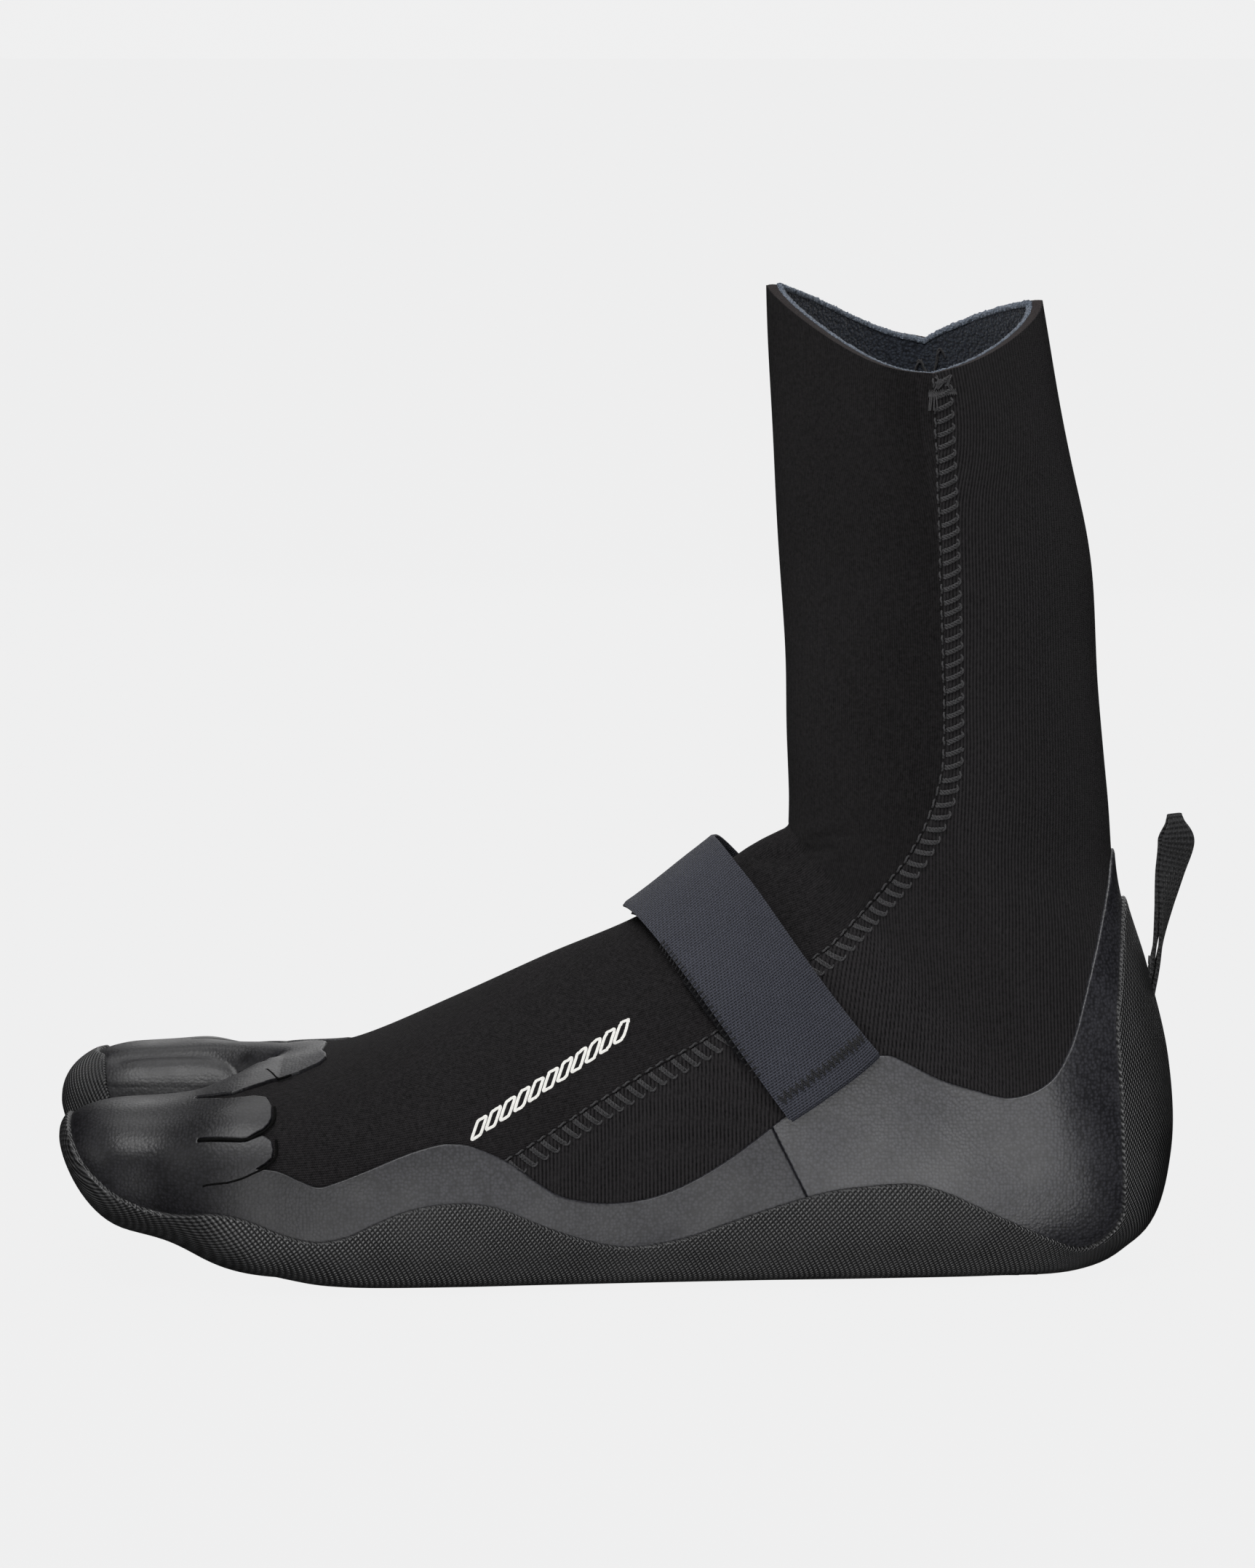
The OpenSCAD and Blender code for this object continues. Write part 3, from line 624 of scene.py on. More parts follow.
def webbing_cloth(name, dark, light, rib, depth):
    """Ribbed webbing: the ribs run across the tape, crossed by fine warp threads."""
    g = Graph(name, dark, 0.72, 0.3, Sheen_Weight=0.12, Sheen_Roughness=0.35)
    along, across = g.uv()
    weft = g.wave(along, rib)
    stagger = g.wave(g.add(across, g.scale(along, 0.5)), rib * 1.5)
    warp = g.wave(across, rib * 0.75)
    height = g.add(g.scale(weft, 0.55), g.scale(g.math("MULTIPLY", weft, stagger), 0.3), g.scale(warp, 0.2),
                   g.scale(g.noise(g.position(), 0.3, 2), 0.6))
    g.bump(height, depth)
    worn = g.noise(g.position(), 18, 3)
    shade = g.add(g.scale(height, 0.6), g.scale(worn, 0.35), g.scale(g.noise(g.position(), 1.0, 2, 0.6), 0.3))
    g.colour(g.mix(g.remap(shade, 0.0, 0.8, 0, 1), dark, light))
    return g.material


def fuzzy(name, dark, light, size, depth, sheen=0.25):
    """Brushed or cut soft surface."""
    g = Graph(name, dark, 0.95, 0.12, Sheen_Weight=sheen, Sheen_Roughness=0.5)
    place = g.position()
    clump = g.node("TexVoronoi", 0, {"feature": "F1"}, Vector=place, Scale=1000 / size, Randomness=1.0)
    fibre = g.noise(place, size * 0.6, 4, 0.7)
    height = g.add(g.math("SUBTRACT", 1.0, clump), fibre)
    g.bump(height, depth)
    g.colour(g.mix(g.remap(height, 0.7, 1.5, 0, 1), dark, light))
    return g.material


def thread_cloth(name, dark, light):
    """Twisted sewing thread."""
    g = Graph(name, dark, 0.6, 0.4, Sheen_Weight=0.1)
    fibre = g.noise(g.position(), 0.22, 3, 0.7)
    g.colour(g.mix(g.remap(fibre, 0.35, 0.7, 0, 1), dark, light))
    g.bump(fibre, 0.12)
    return g.material


def ink():
    """Pale screen print, thin in places."""
    g = Graph("screen_ink", (0.62, 0.61, 0.58), 0.8, 0.3)
    cover = g.noise(g.position(), 0.5, 4, 0.7)
    g.colour(g.mix(g.remap(cover, 0.3, 0.75, 0, 1), (0.95, 0.94, 0.90), (0.72, 0.71, 0.68)))
    g.bump(cover, 0.08)
    return g.material


KNIT = knit("neoprene_knit", (0.0028, 0.0026, 0.0028),
            (0.026, 0.0242, 0.0255), 0.6, 0.5, 0.5, 0.2)
RIB = knit("neoprene_rib", (0.0028, 0.0027, 0.003),
           (0.026, 0.0245, 0.026), 0.88, 0.5, 0.95, 0.28)
FLEECE = fuzzy("fleece_lining", (0.010, 0.013, 0.021), (0.055, 0.066, 0.088), 0.75, 0.5)
PALE_PILE = fuzzy("lining_edge_pile", (0.08, 0.10, 0.13), (0.26, 0.30, 0.37), 0.5, 0.3)
FOAM = fuzzy("cut_foam", (0.026, 0.022, 0.022), (0.048, 0.041, 0.041), 0.35, 0.12, 0.05)
INSOLE_FOAM = fuzzy("insole_foam", (0.03, 0.033, 0.038), (0.06, 0.064, 0.07), 0.5, 0.2)
# The last pair of colours is the paler rear: painted light of the heel on the same rubber as at the toe.
TOE_RUBBER = pebbled("rand_rubber", (0.006, 0.0058, 0.0068),
                     (0.018, 0.0175, 0.021), 0.85, 0.42, 0.5, 0.05,
                     ((0.013, 0.013, 0.0155), (0.047, 0.047, 0.055)))
# The same rubber as the toe, painted paler to stand in for the light the heel catches.
HEEL_RUBBER_PAINTED_PALER = pebbled("rand_rubber_heel_painted_paler", (0.013, 0.013, 0.0155),
                      (0.050, 0.050, 0.059), 0.85, 0.40, 0.75, 0.07)
OUTSOLE_RUBBER = woven_rubber("outsole_rubber", (0.012, 0.012, 0.0125),
                              (0.052, 0.052, 0.054), 1.35, 0.42, 0.18)
WEBBING = webbing_cloth("webbing", (0.006, 0.0065, 0.0095), (0.070, 0.074, 0.097), 0.68, 0.26)
LOOP_TAPE = webbing_cloth("loop_tape", (0.006, 0.006, 0.0065), (0.034, 0.034, 0.036), 1.3, 0.5)
HOOK_TAPE = fuzzy("hook_tape", (0.006, 0.006, 0.007), (0.02, 0.02, 0.022), 0.5, 0.4, 0.0)
TREAD_RUBBER = fuzzy("tread_rubber", (0.009, 0.009, 0.0095), (0.02, 0.02, 0.021), 0.8, 0.08, 0.0)
# The light fleck colour is raised to stand in for the thread's glints: painted highlight.
THREAD = thread_cloth("thread", (0.004, 0.004, 0.0045), (0.085, 0.083, 0.088))
# Near-black thread of the strap; the end zigzag is real stitching, kept this dark to also paint the shadow
# along its row.
DARK_THREAD = thread_cloth("dark_thread", (0.002, 0.002, 0.0025), (0.018, 0.018, 0.021))
INK = ink()
# Near-black tubes in the toe slits: painted shadow of the gaps under the overlay's edges.
PAINTED_SLIT_SHADOW = fuzzy("painted_slit_shadow", (0.001, 0.001, 0.001), (0.004, 0.004, 0.004), 0.6, 0.05, 0.0)

# ---------------------------------------------------------------- soft panels and lining

foot_data, foot_tris = foot_mesh()
foot_data = shape_details(foot_data, foot_tris)
BASE = (foot_data, foot_tris)
GRID = foot_data[:(len(LOW_ROWS) + SHAFT_ROWS) * COLUMNS].reshape(-1, COLUMNS, VALUES)
BASE_TREE = kdtree.KDTree(len(foot_data))
for index, point in enumerate(foot_data[:, :3].tolist()):
    BASE_TREE.insert(point, index)
BASE_TREE.balance()


def surface(u, a, d=0.0):
    """Point at the height d over ring u and angle a, on the face with its folds and dents."""
    u, a, d = np.broadcast_arrays(np.asarray(u, float), np.asarray(a, float), np.asarray(d, float))
    share = (u - SHAFT_FROM) / (collar_ring(a) - SHAFT_FROM) * (SHAFT_ROWS - 1)
    r = np.where(u < SHAFT_FROM, np.interp(u, LOW_ROWS, np.arange(len(LOW_ROWS))), len(LOW_ROWS) + share)
    r = np.clip(r, 0, len(GRID) - 1.001)
    c = (a - SPLIT_TOP) / 1.5 % COLUMNS
    i, j = np.floor(r).astype(int), np.floor(c).astype(int)
    p, q = (r - i)[..., None], (c - j)[..., None]
    k = (j + 1) % COLUMNS
    at = ((GRID[i, j % COLUMNS] * (1 - q) + GRID[i, k] * q) * (1 - p)
          + (GRID[i + 1, j % COLUMNS] * (1 - q) + GRID[i + 1, k] * q) * p)
    return at[..., :3] + unit(at[..., NORMAL]) * d[..., None]


def settle(points, d):
    """Points moved to the height d over the face."""
    points = np.array(points, float)
    flat = points.reshape(-1, 3)
    near = np.array([BASE_TREE.find(p)[1] for p in flat.tolist()])
    n = foot_data[near, NORMAL]
    rise = ((flat - foot_data[near, :3]) * n).sum(1)
    d = np.broadcast_to(d, points.shape[:-1]).ravel()
    return (flat + n * (d - rise)[:, None]).reshape(points.shape), n.reshape(points.shape)


NEOPRENE_T = 3.0
LINING_OUT = -3.1
LINING_IN = -4.0


def side(data):
    """Points as seen from the side: x and z."""
    return data[:, [X, Z]]


def in_front_of_seam(data):
    """Signed distance from the side seams, positive towards the toes."""
    p = side(data)
    ahead = p[:, 0] < np.interp(p[:, 1], SEAM[:, 1], SEAM[:, 0])
    toes = data[:, X] < -90
    return np.where(toes, 20.0, np.where(ahead, 1, -1) * line_distance(p, SEAM))


def behind_seam(data):
    return -in_front_of_seam(data)


def uv_round(data, column):
    """Texture coordinates: distance round the foot and along it."""
    return data[:, [column, ALONG]]


def uv_upright(data, column):
    """Coordinates whose first stays even across the lateral side, so that its lines stand upright."""
    s = row(RINGS, data[:, RING])
    level = np.abs(s[:, 0] - s[:, 2]) / np.hypot(s[:, 0] - s[:, 2], s[:, 1] - s[:, 3])
    return np.stack([np.abs(data[:, column]) * level - s[:, 2], data[:, ALONG]], 1)


for name, field, material, slot, uv, column, nodes in (
        ("front_knit_panel", in_front_of_seam, KNIT, "neoprene_knit", uv_round, FROM_TOP,
         ("front_panel_foot", "front_panel_flex", "front_panel_shaft", "small_toes_pocket",
          "big_toe_pocket")),
        ("rear_rib_panel", behind_seam, RIB, "neoprene_rib", uv_upright, FROM_SOLE,
         ("rear_panel_foot", "rear_panel_flex", "rear_panel_shaft"))):
    points, faces, data = patch(BASE, field, -NEOPRENE_T, 0, bevel=0.9, drop=0.16)
    panel = to_object(name, points, faces, material, slot, None, nodes, uv(data, column), 60)
    across_ankle(panel)

points, faces, _ = closed(foot_data[:, :3] + foot_data[:, NORMAL] * LINING_OUT,
                          foot_data[:, :3] + foot_data[:, NORMAL] * LINING_IN, foot_tris, foot_data)
lining = to_object("fleece_lining", points, faces, FLEECE, "fleece_lining", None,
                   ("lining_foot", "lining_flex", "lining_shaft", "lining_small_toes",
                    "lining_big_toe"), None, 60)
across_ankle(lining)

# ---------------------------------------------------------------- grids, tubes and ribbons


def grid_solid(outer, inner):
    """Closed solid between two grids of points: rows by columns."""
    rows, cols = outer.shape[:2]
    ids = np.arange(rows * cols).reshape(rows, cols)
    tris = quads(ids[:-1, :-1], ids[:-1, 1:], ids[1:, 1:], ids[1:, :-1])
    flat = outer.reshape(-1, 3)
    mid = flat.mean(0)
    points, faces, _ = closed(flat, inner.reshape(-1, 3), tris, np.zeros((len(flat), 1)))
    volume = np.einsum("ij,ij->i", points[faces[:, 0]] - mid,
                       np.cross(points[faces[:, 1]] - mid, points[faces[:, 2]] - mid)).sum()
    return points, faces if volume > 0 else faces[:, ::-1]


def tubes(paths, radius, sides=6, flat=1.0, up=None):
    """Closed round threads along paths, joined into one mesh. up gives the flat side's normals."""
    all_points, all_faces, count = [], [], 0
    turn = np.linspace(0, 2 * math.pi, sides, endpoint=False)
    for k, path in enumerate(paths):
        path = np.asarray(path, float)
        n = len(path)
        ahead = unit(np.gradient(path, axis=0))
        lift = np.broadcast_to(up[k] if up is not None else (0.13, -0.35, 0.93), path.shape)
        right = unit(np.cross(ahead, lift))
        lift = np.cross(right, ahead)
        r = np.broadcast_to(radius, n)[:, None, None]
        ring = path[:, None] + r * (np.cos(turn)[None, :, None] * right[:, None]
                                    + flat * np.sin(turn)[None, :, None] * lift[:, None])
        ids = count + np.arange(n * sides).reshape(n, sides)
        nxt = np.roll(ids, -1, 1)
        caps = [np.stack([np.full(sides, count + n * sides + e),
                          *((nxt[row_], ids[row_]) if e else (ids[row_], nxt[row_]))], 1)
                for e, row_ in ((0, 0), (1, -1))]
        all_points += [ring.reshape(-1, 3), path[[0, -1]]]
        all_faces += [quads(ids[:-1], ids[1:], nxt[1:], nxt[:-1])[:, ::-1], *[c[:, ::-1] for c in caps]]
        count += n * sides + 2
    return np.concatenate(all_points), np.concatenate(all_faces)[:, ::-1]


def threads(name, paths, radius, material, slot, body, replaces=(), sides=5, flat=1.0, up=None):
    """Blender object of round threads along paths."""
    points, faces = tubes(paths, radius, sides, flat, up)
    return to_object(name, points, faces, material, slot, body, replaces, None, 80)


# ---------------------------------------------------------------- rubber

# Upper edges of the rand and the outsole, and the joint of the two rands, in x and z
RAND_EDGE = curve([(-112, 33), (-100.1, 32.2), (-93.7, 33), (-87.2, 32.5), (-81.6, 30.2), (-77.1, 28.6),
                   (-73.2, 29.5), (-65.6, 32.3), (-54.8, 36.5), (-47.5, 38.5), (-43.9, 38.8),
                   (-38.5, 38), (-29.4, 33.9), (-18.6, 26.3), (-11.3, 23.9), (-4, 23.2), (5.1, 24.2),
                   (14.2, 27.4), (25.2, 33.7), (36.1, 41.8), (50, 53), (57, 58), (64.4, 59.3),
                   (68.9, 57.9), (78.1, 53.3), (87.2, 50.5), (96.3, 48.7), (105.4, 52.4),
                   (111, 61.2), (114.7, 73.5), (118.4, 87.1), (121.2, 98), (122.4, 105)], 6)
RAND_AREA = np.vstack([RAND_EDGE, [(123, 107.5), (150, 107.5), (150, -40), (-180, -40), (-180, 33)]])
OUTSOLE_EDGE = curve([(-142, 50), (-141.2, 45), (-140.2, 41), (-138.6, 37), (-136.6, 33.6), (-134.6, 31.2),
                      (-131.8, 28.6), (-128.1, 25.6), (-124.4, 23.7), (-120.8, 22.3), (-115.2, 21.2),
                      (-109.5, 21.2), (-103.9, 21.8), (-98.4, 21.3), (-92.9, 19.6), (-87.5, 17.3),
                      (-82.1, 15.6), (-76.6, 14.9), (-69.4, 16.4), (-63.9, 19),
                      (-54.8, 22.6), (-43.9, 24.2), (-33.1, 23), (-18.6, 17), (-7.7, 13.4),
                      (1.5, 12.2), (14.3, 14.2), (25.2, 17.9), (36.2, 21.6), (48.9, 25.2),
                      (58.1, 26.6), (70.9, 27.3), (80, 25), (89.3, 20.7), (106.1, 12.8),
                      (113.8, 9.9), (119.3, 11.8), (123.4, 16.6), (124.2, 23.5), (123.3, 49.3),
                      (122.4, 63.7), (123.4, 77.5), (124.2, 88), (124.9, 95)], 6)
OUTSOLE_AREA = np.vstack([OUTSOLE_EDGE, [(150, 96), (150, -40), (-180, -40), (-180, 50)]])
BUTT = np.array([(35, 44), (40, 34), (45, 24), (49, 0)])
# Toe overlay's edge in x and in the distance round from the top of the split, lateral side
TOE_LATERAL = np.array([
    (-76.6, -30), (-77, 0), (-77.6, 12.8), (-76.4, 17), (-76.2, 20.6), (-77.7, 24.3), (-82.7, 28.4),
    (-91.8, 32.4), (-99.2, 32.5), (-104, 29.4), (-108.4, 25.4), (-108.7, 26.9), (-101, 34.7), (-93.6, 38.3),
    (-90.5, 41), (-88.9, 45.5), (-88.7, 49.6), (-89.4, 51.6), (-90.8, 52.6), (-94.8, 52.35), (-106.6, 45.7),
    (-106.9, 46.4), (-94.8, 53.0), (-90.8, 54.1), (-88.5, 56.4), (-88, 58.7), (-88.4, 60.6), (-90.2, 61.6),
    (-92.8, 61.6), (-98.3, 60.2), (-105.4, 57.3), (-105.5, 58.6), (-99, 61.3), (-93.7, 62.9), (-90, 64),
    (-85, 70), (-85, 120), (-200, 120), (-200, -30)])
TOE_MEDIAL = np.array([
    (-76.6, 30), (-77, 0), (-77.8, -3), (-79.4, -6), (-82, -7.8), (-92, -9.6), (-104, -12.2), (-112.8, -14),
    (-112.9, -14.9), (-104, -14.2), (-92, -12.6), (-80, -12), (-72, -14.5), (-69, -19), (-68.6, -24),
    (-70, -30), (-74, -33.5), (-84, -35.5), (-96, -36.5), (-96.2, -37.4), (-84, -37.6), (-78, -39),
    (-75, -41.5), (-74, -46), (-75.5, -50.5), (-79, -53), (-90, -54), (-98, -54), (-98, -54.9), (-88, -56.5),
    (-83, -60), (-83, -120), (-200, -120), (-200, 30)])


def rubber_area(data):
    """Toe overlay with its fingers, joined to the rand."""
    rand = inside(side(data), RAND_AREA)
    near = data[:, X] < -60
    p = data[near][:, [X, FROM_TOP]]
    lateral = p[:, 1] > 0
    toes = np.full(len(data), -50.0)
    toes[near] = np.where(lateral, inside(p, TOE_LATERAL), inside(p, TOE_MEDIAL))
    wall = (data[:, RING] < -0.02) & (data[:, FROM_TOP] * np.sign(data[:, Y] - 8.4) > 0)
    toes = np.where(wall, 20, toes)
    return np.maximum(rand, toes)


def butt_side(data):
    """Signed distance from the joint of the two rands, positive towards the toes."""
    p = side(data)
    ahead = p[:, 0] < np.interp(-p[:, 1], -BUTT[:, 1], BUTT[:, 0])
    return np.where(ahead, 1, -1) * line_distance(p, np.vstack([(25, 60), BUTT, (60, -40)]))


def sole_cover(data):
    """How deep a point lies under the outsole, whose bumper reaches farther back over the big toe."""
    p = side(data)
    big = (data[:, Y] > 8.4) & (data[:, X] < -95)
    p[:, 0] -= 7.5 * big * smooth((data[:, Z] - 24) / 14)
    return inside(p, OUTSOLE_AREA)


def toe_rand_area(data):
    return np.minimum(np.minimum(rubber_area(data), butt_side(data) - 0.04), 6 - sole_cover(data))


def heel_rand_area(data):
    return np.minimum(np.minimum(rubber_area(data), -butt_side(data) - 0.04), 6 - sole_cover(data))


def toe_detail(data):
    """Longest edge of the mesh: short round the fingers' slits."""
    fingers = (data[:, X] < -72) & (data[:, X] > -114) & (np.abs(data[:, FROM_TOP]) < 67) & (
        data[:, RING] > -1.2)
    return np.where(fingers, 0.42, 0.9)


points, faces, data = patch(select(BASE, foot_data[:, X] < 60), toe_rand_area, 0.02, 0.95, bevel=0.4,
                            drop=0.6, finest=toe_detail)
to_object("toe_rand_rubber", points, faces, TOE_RUBBER, "rand_rubber", "foot",
          ("toe_rand", "small_toes_rand", "big_toe_rand", "slot_overlay"), uv_round(data, FROM_TOP), 50)


def on_overlay(outline, d):
    """Smooth path at the height d along an outline given in x and distance from the split's top."""
    line = curve(outline, 10)
    keep = np.flatnonzero((foot_data[:, X] < -60) & (foot_data[:, RING] > -1.9)
                          & (np.abs(foot_data[:, FROM_TOP]) < 75))
    flat = foot_data[keep][:, [X, FROM_TOP]]
    path = []
    for p in line:
        gap = ((flat - p) ** 2).sum(1)
        near = np.argpartition(gap, 5)[:5]
        share = 1 / (gap[near] + 0.01)
        path.append((foot_data[keep[near], :3] * share[:, None]).sum(0) / share.sum())
    path = np.array(path)
    for _ in range(3):
        path[1:-1] = (path[:-2] + 2 * path[1:-1] + path[2:]) / 4
    return settle(path, d)[0]


# Paths along the fingers' slits, in x and distance from the split's top, for dark tubes that paint the shadow
# in the gaps.
SLIT_SHADOW_LINES = [
    [(-108.6, 26.1), (-104, 30), (-99.2, 33.2), (-91.8, 33.2), (-84.5, 30.2)],
    [(-88.2, 46), (-88.1, 49.8), (-89, 52), (-90.8, 53.2), (-94.8, 52.7), (-100, 49.6), (-106.8, 46)],
    [(-87.5, 56.4), (-87.2, 58.7), (-87.8, 61), (-90.2, 62.3), (-92.8, 62.2), (-98.6, 60.8), (-105.5, 58)]]
threads("toe_slit_painted_shadow", [on_overlay(line, 0.8) for line in SLIT_SHADOW_LINES], 0.34, PAINTED_SLIT_SHADOW, "rand_rubber", "foot",
        sides=6)

points, faces, data = patch(select(BASE, foot_data[:, X] > 20), heel_rand_area, 0.02, 0.85, bevel=0.45,
                            drop=0.55, finest=1.0)
to_object("heel_rand_rubber", points, faces, HEEL_RUBBER_PAINTED_PALER, "rand_rubber", "foot", ("heel_rand",),
          uv_round(data, FROM_SOLE), 50)


def sole_height(data):
    """Thicker under the foot, most of all along the rounded lower edge."""
    z = data[:, Z]
    flat = smooth((data[:, X] + 100) / 25)
    return 2.0 + flat * (0.7 * smooth((9 - z) / 6) + 1.3 * np.exp(-(((z - 5.6) / 2.2) ** 2)))


points, faces, data = patch(select(BASE, foot_data[:, Z] < 110), sole_cover, 0.87, sole_height, bevel=0.5,
                            drop=0.5, finest=1.2)
to_object("outsole_shell", points, faces, OUTSOLE_RUBBER, "outsole_rubber", "foot",
          ("outsole", "small_toes_bumper", "big_toe_bumper"), uv_round(data, FROM_SOLE), 50)

# ---------------------------------------------------------------- collar and insole

RIM = GRID[-1]
RIM_UP = unit(GRID[-1, :, :3] - GRID[-2, :, :3])


def rim_ring(name, corners, rough, material, slot, body, count=3):
    """Closed ring round the collar through corners of (height over the face, height over the cut)."""
    cols = COLUMNS * count
    share = np.arange(cols) / count
    j, q = share.astype(int), (share % 1)[:, None]
    at = RIM[j] * (1 - q) + RIM[(j + 1) % COLUMNS] * q
    up = unit(RIM_UP[j] * (1 - q) + RIM_UP[(j + 1) % COLUMNS] * q)
    n = unit(at[:, NORMAL])
    loops = []
    for d, h, loose in corners:
        jitter = rng.normal(0, rough, (2, cols)) * loose
        loops.append(at[:, :3] + n * (d + jitter[0])[:, None] + up * (h + jitter[1])[:, None])
    loops = np.array(loops)
    ids = np.arange(loops.shape[0] * cols).reshape(loops.shape[0], cols)
    faces = quads(ids, np.roll(ids, -1, 0), np.roll(np.roll(ids, -1, 0), -1, 1), np.roll(ids, -1, 1))
    return to_object(name, loops.reshape(-1, 3), faces, material, slot, body, (), None, 60)


rim_ring("collar_foam_edge", [(-0.35, -0.8, 0), (-0.3, 0.02, 0.3), (-0.8, 0.14, 1), (-1.6, 0.16, 1),
                              (-2.4, 0.12, 1), (-2.85, 0.0, 0.3), (-2.8, -0.8, 0)], 0.035, FOAM,
         "neoprene_knit", "shaft")
rim_ring("lining_pile_edge", [(-2.85, -0.7, 0), (-2.8, 0.18, 0.8), (-3.2, 0.42, 1), (-3.8, 0.3, 1),
                              (-4.35, -0.2, 1), (-4.3, -1.0, 0.6), (-3.9, -1.2, 0)], 0.12, PALE_PILE,
         "fleece_lining", "shaft")

insole_u = np.linspace(0.05, 8.5, 110)[:, None]
insole_a = np.linspace(138, 222, 56)[None, :]
edge = np.abs(np.linspace(-1, 1, 56))[None, :]
end = np.abs(np.linspace(-1, 1, 110))[:, None]
crown = -4.6 - 2.3 * np.sqrt(np.clip(1 - edge**6, 0, 1)) * np.sqrt(np.clip(1 - end**14, 0, 1))
points, faces = grid_solid(skin(insole_u, insole_a, crown), skin(insole_u, insole_a, crown * 0 - 4.45))
insole = to_object("foam_insole", points, faces, INSOLE_FOAM, "insole_foam", "foot", ("insole",), None, 60)

# ---------------------------------------------------------------- seams

STITCH = 3.2
SEAM_STEP = 0.1


def seam_angle(u):
    """Angle at which rings cross the seam."""
    low, high = np.full(len(u), 20.0), np.full(len(u), 150.0)
    for _ in range(30):
        mid = (low + high) / 2
        p = foot(u, mid)
        left = p[:, 0] < np.interp(p[:, 2], SEAM[:, 1], SEAM[:, 0])
        low, high = np.where(left, mid, low), np.where(left, high, mid)
    return (low + high) / 2


def seam_frame(sign, start, end):
    """Points along a seam in even small steps, with the directions along and across it."""
    u = np.linspace(start, end, 2400)
    p = surface(u, sign * seam_angle(u))
    run = np.concatenate([[0], np.cumsum(np.linalg.norm(np.diff(p, axis=0), axis=1))])
    even = np.arange(0, run[-1], SEAM_STEP)
    line = np.stack([np.interp(even, run, p[:, k]) for k in range(3)], 1)
    line, n = settle(line, 0.0)
    soft = np.ones(9) / 9
    ahead = unit(np.gradient(line, axis=0))
    ahead = unit(np.stack([np.convolve(np.pad(ahead[:, k], 4, "edge"), soft, "valid")
                           for k in range(3)], 1))
    across = unit(np.cross(ahead, n)) * sign
    return line, ahead, across, n


def on_seam(frame_, run, across, d):
    """Settled points at the distances run along and across a seam, at the height d."""
    line, _, side_, _ = frame_
    i = np.clip(np.asarray(run) / SEAM_STEP, 0, len(line) - 1.001)
    k = i.astype(int)
    f = (i - k)[:, None]
    at = line[k] * (1 - f) + line[k + 1] * f
    return settle(at + side_[k] * np.asarray(across)[:, None], d)


def seam_stitches(frame_, end):
    """Cover stitch: dashes along the front panel's edge and twisted rungs over the rear panel."""
    paths = []
    t = np.linspace(0, 1, 12)
    hump = np.sin(math.pi * np.clip(t, 0.0, 1)) ** 0.5
    for k in np.arange(0.5, end - 2.5, STITCH):
        wobble = rng.normal(0, 0.09, 4)
        paths.append(on_seam(frame_, k + wobble[0] + 2.1 * t,
                             -0.35 + 0.1 * np.sin(2 * math.pi * t) + wobble[1], -0.25 + 0.5 * hump)[0])
        for strand in (0.0, 2.1, 4.2):
            turn = 3.4 * math.pi * t + wobble[2] * 4 + strand
            run = k + 0.9 + 1.5 * t**1.4 + 0.46 * np.cos(turn) + wobble[3]
            paths.append(on_seam(frame_, run, 0.35 + 3.9 * t, -0.15 + 0.5 * hump + 0.2 * np.sin(turn))[0])
        paths.append(on_seam(frame_, k + 1.9 + 1.7 * t, 4.15 + 0.45 * np.sin(math.pi * t),
                             -0.2 + 0.45 * hump)[0])
    return paths


for sign, side_name in ((1, "lateral"), (-1, "medial")):
    frame_ = seam_frame(sign, 2.3, 17.6)
    across_ankle(threads(side_name + "_cover_stitch", seam_stitches(frame_, len(frame_[0]) * SEAM_STEP), 0.27,
                         THREAD, "thread", None,
                         tuple(side_name + "_seam_" + part for part in ("foot", "flex", "shaft"))))


def bar_tack(sign, side_name):
    """Dense zigzag that locks the seam under the collar's notch, with a few loose thread ends."""
    frame_ = seam_frame(sign, 14.5, 17.66)
    level = len(frame_[0]) * SEAM_STEP - 5.6
    count = 26
    zig = np.arange(count + 1)
    run = level + np.where(zig % 2, 0.75, -0.75) + rng.normal(0, 0.12, count + 1)
    across = np.linspace(-1.6, 5.6, count + 1)
    t = np.linspace(0, count, count * 4 + 1)
    paths = [on_seam(frame_, np.interp(t, zig, run), np.interp(t, zig, across),
                     0.35 + 0.18 * np.cos(2 * math.pi * t))[0]]
    t = np.linspace(0, 1, 9)
    for k in range(9):
        a0, a1 = rng.uniform(-0.6, 4.6, 2)
        r0, r1 = level + rng.uniform(0.5, 2.5), level + rng.uniform(2.5, 5.2)
        bow = rng.normal(0, 0.7)
        paths.append(on_seam(frame_, r0 + (r1 - r0) * t, a0 + (a1 - a0) * 0.3 * t + bow * np.sin(math.pi * t),
                             0.1 + 0.4 * np.sin(math.pi * t))[0])
    for k in range(4):
        lean = rng.uniform(-2.2, 0.2)
        paths.append(on_seam(frame_, level - 4.2 * t, -1.2 + k * 0.5 + lean * t, 0.3 + 0.7 * t)[0])
    threads(side_name + "_bar_tack_threads", paths, 0.2, THREAD, "thread", "shaft",
            (side_name + "_bar_tack",))
    inner = [on_seam(frame_, level + 3.5 * np.sin(2.1 * t + k) + 0.5 * k - 4, -2.5 + 1.1 * k + 2.5 * t,
                     -4.15 - 0.25 * np.sin(math.pi * t))[0] for k in range(8)]
    threads(side_name + "_inner_tack_threads", inner, 0.3, THREAD, "thread", "shaft")


bar_tack(1, "lateral")
bar_tack(-1, "medial")

# ---------------------------------------------------------------- instep strap

FLAP_END = 77
FLAP_SKEW = 10
FOLD = -56
STRAP_WIDE = 30
BASE_IN, BASE_OUT = 0.75, 1.75
HOOK_OUT = 2.45
FLAP_IN, FLAP_OUT = 2.6, 3.9


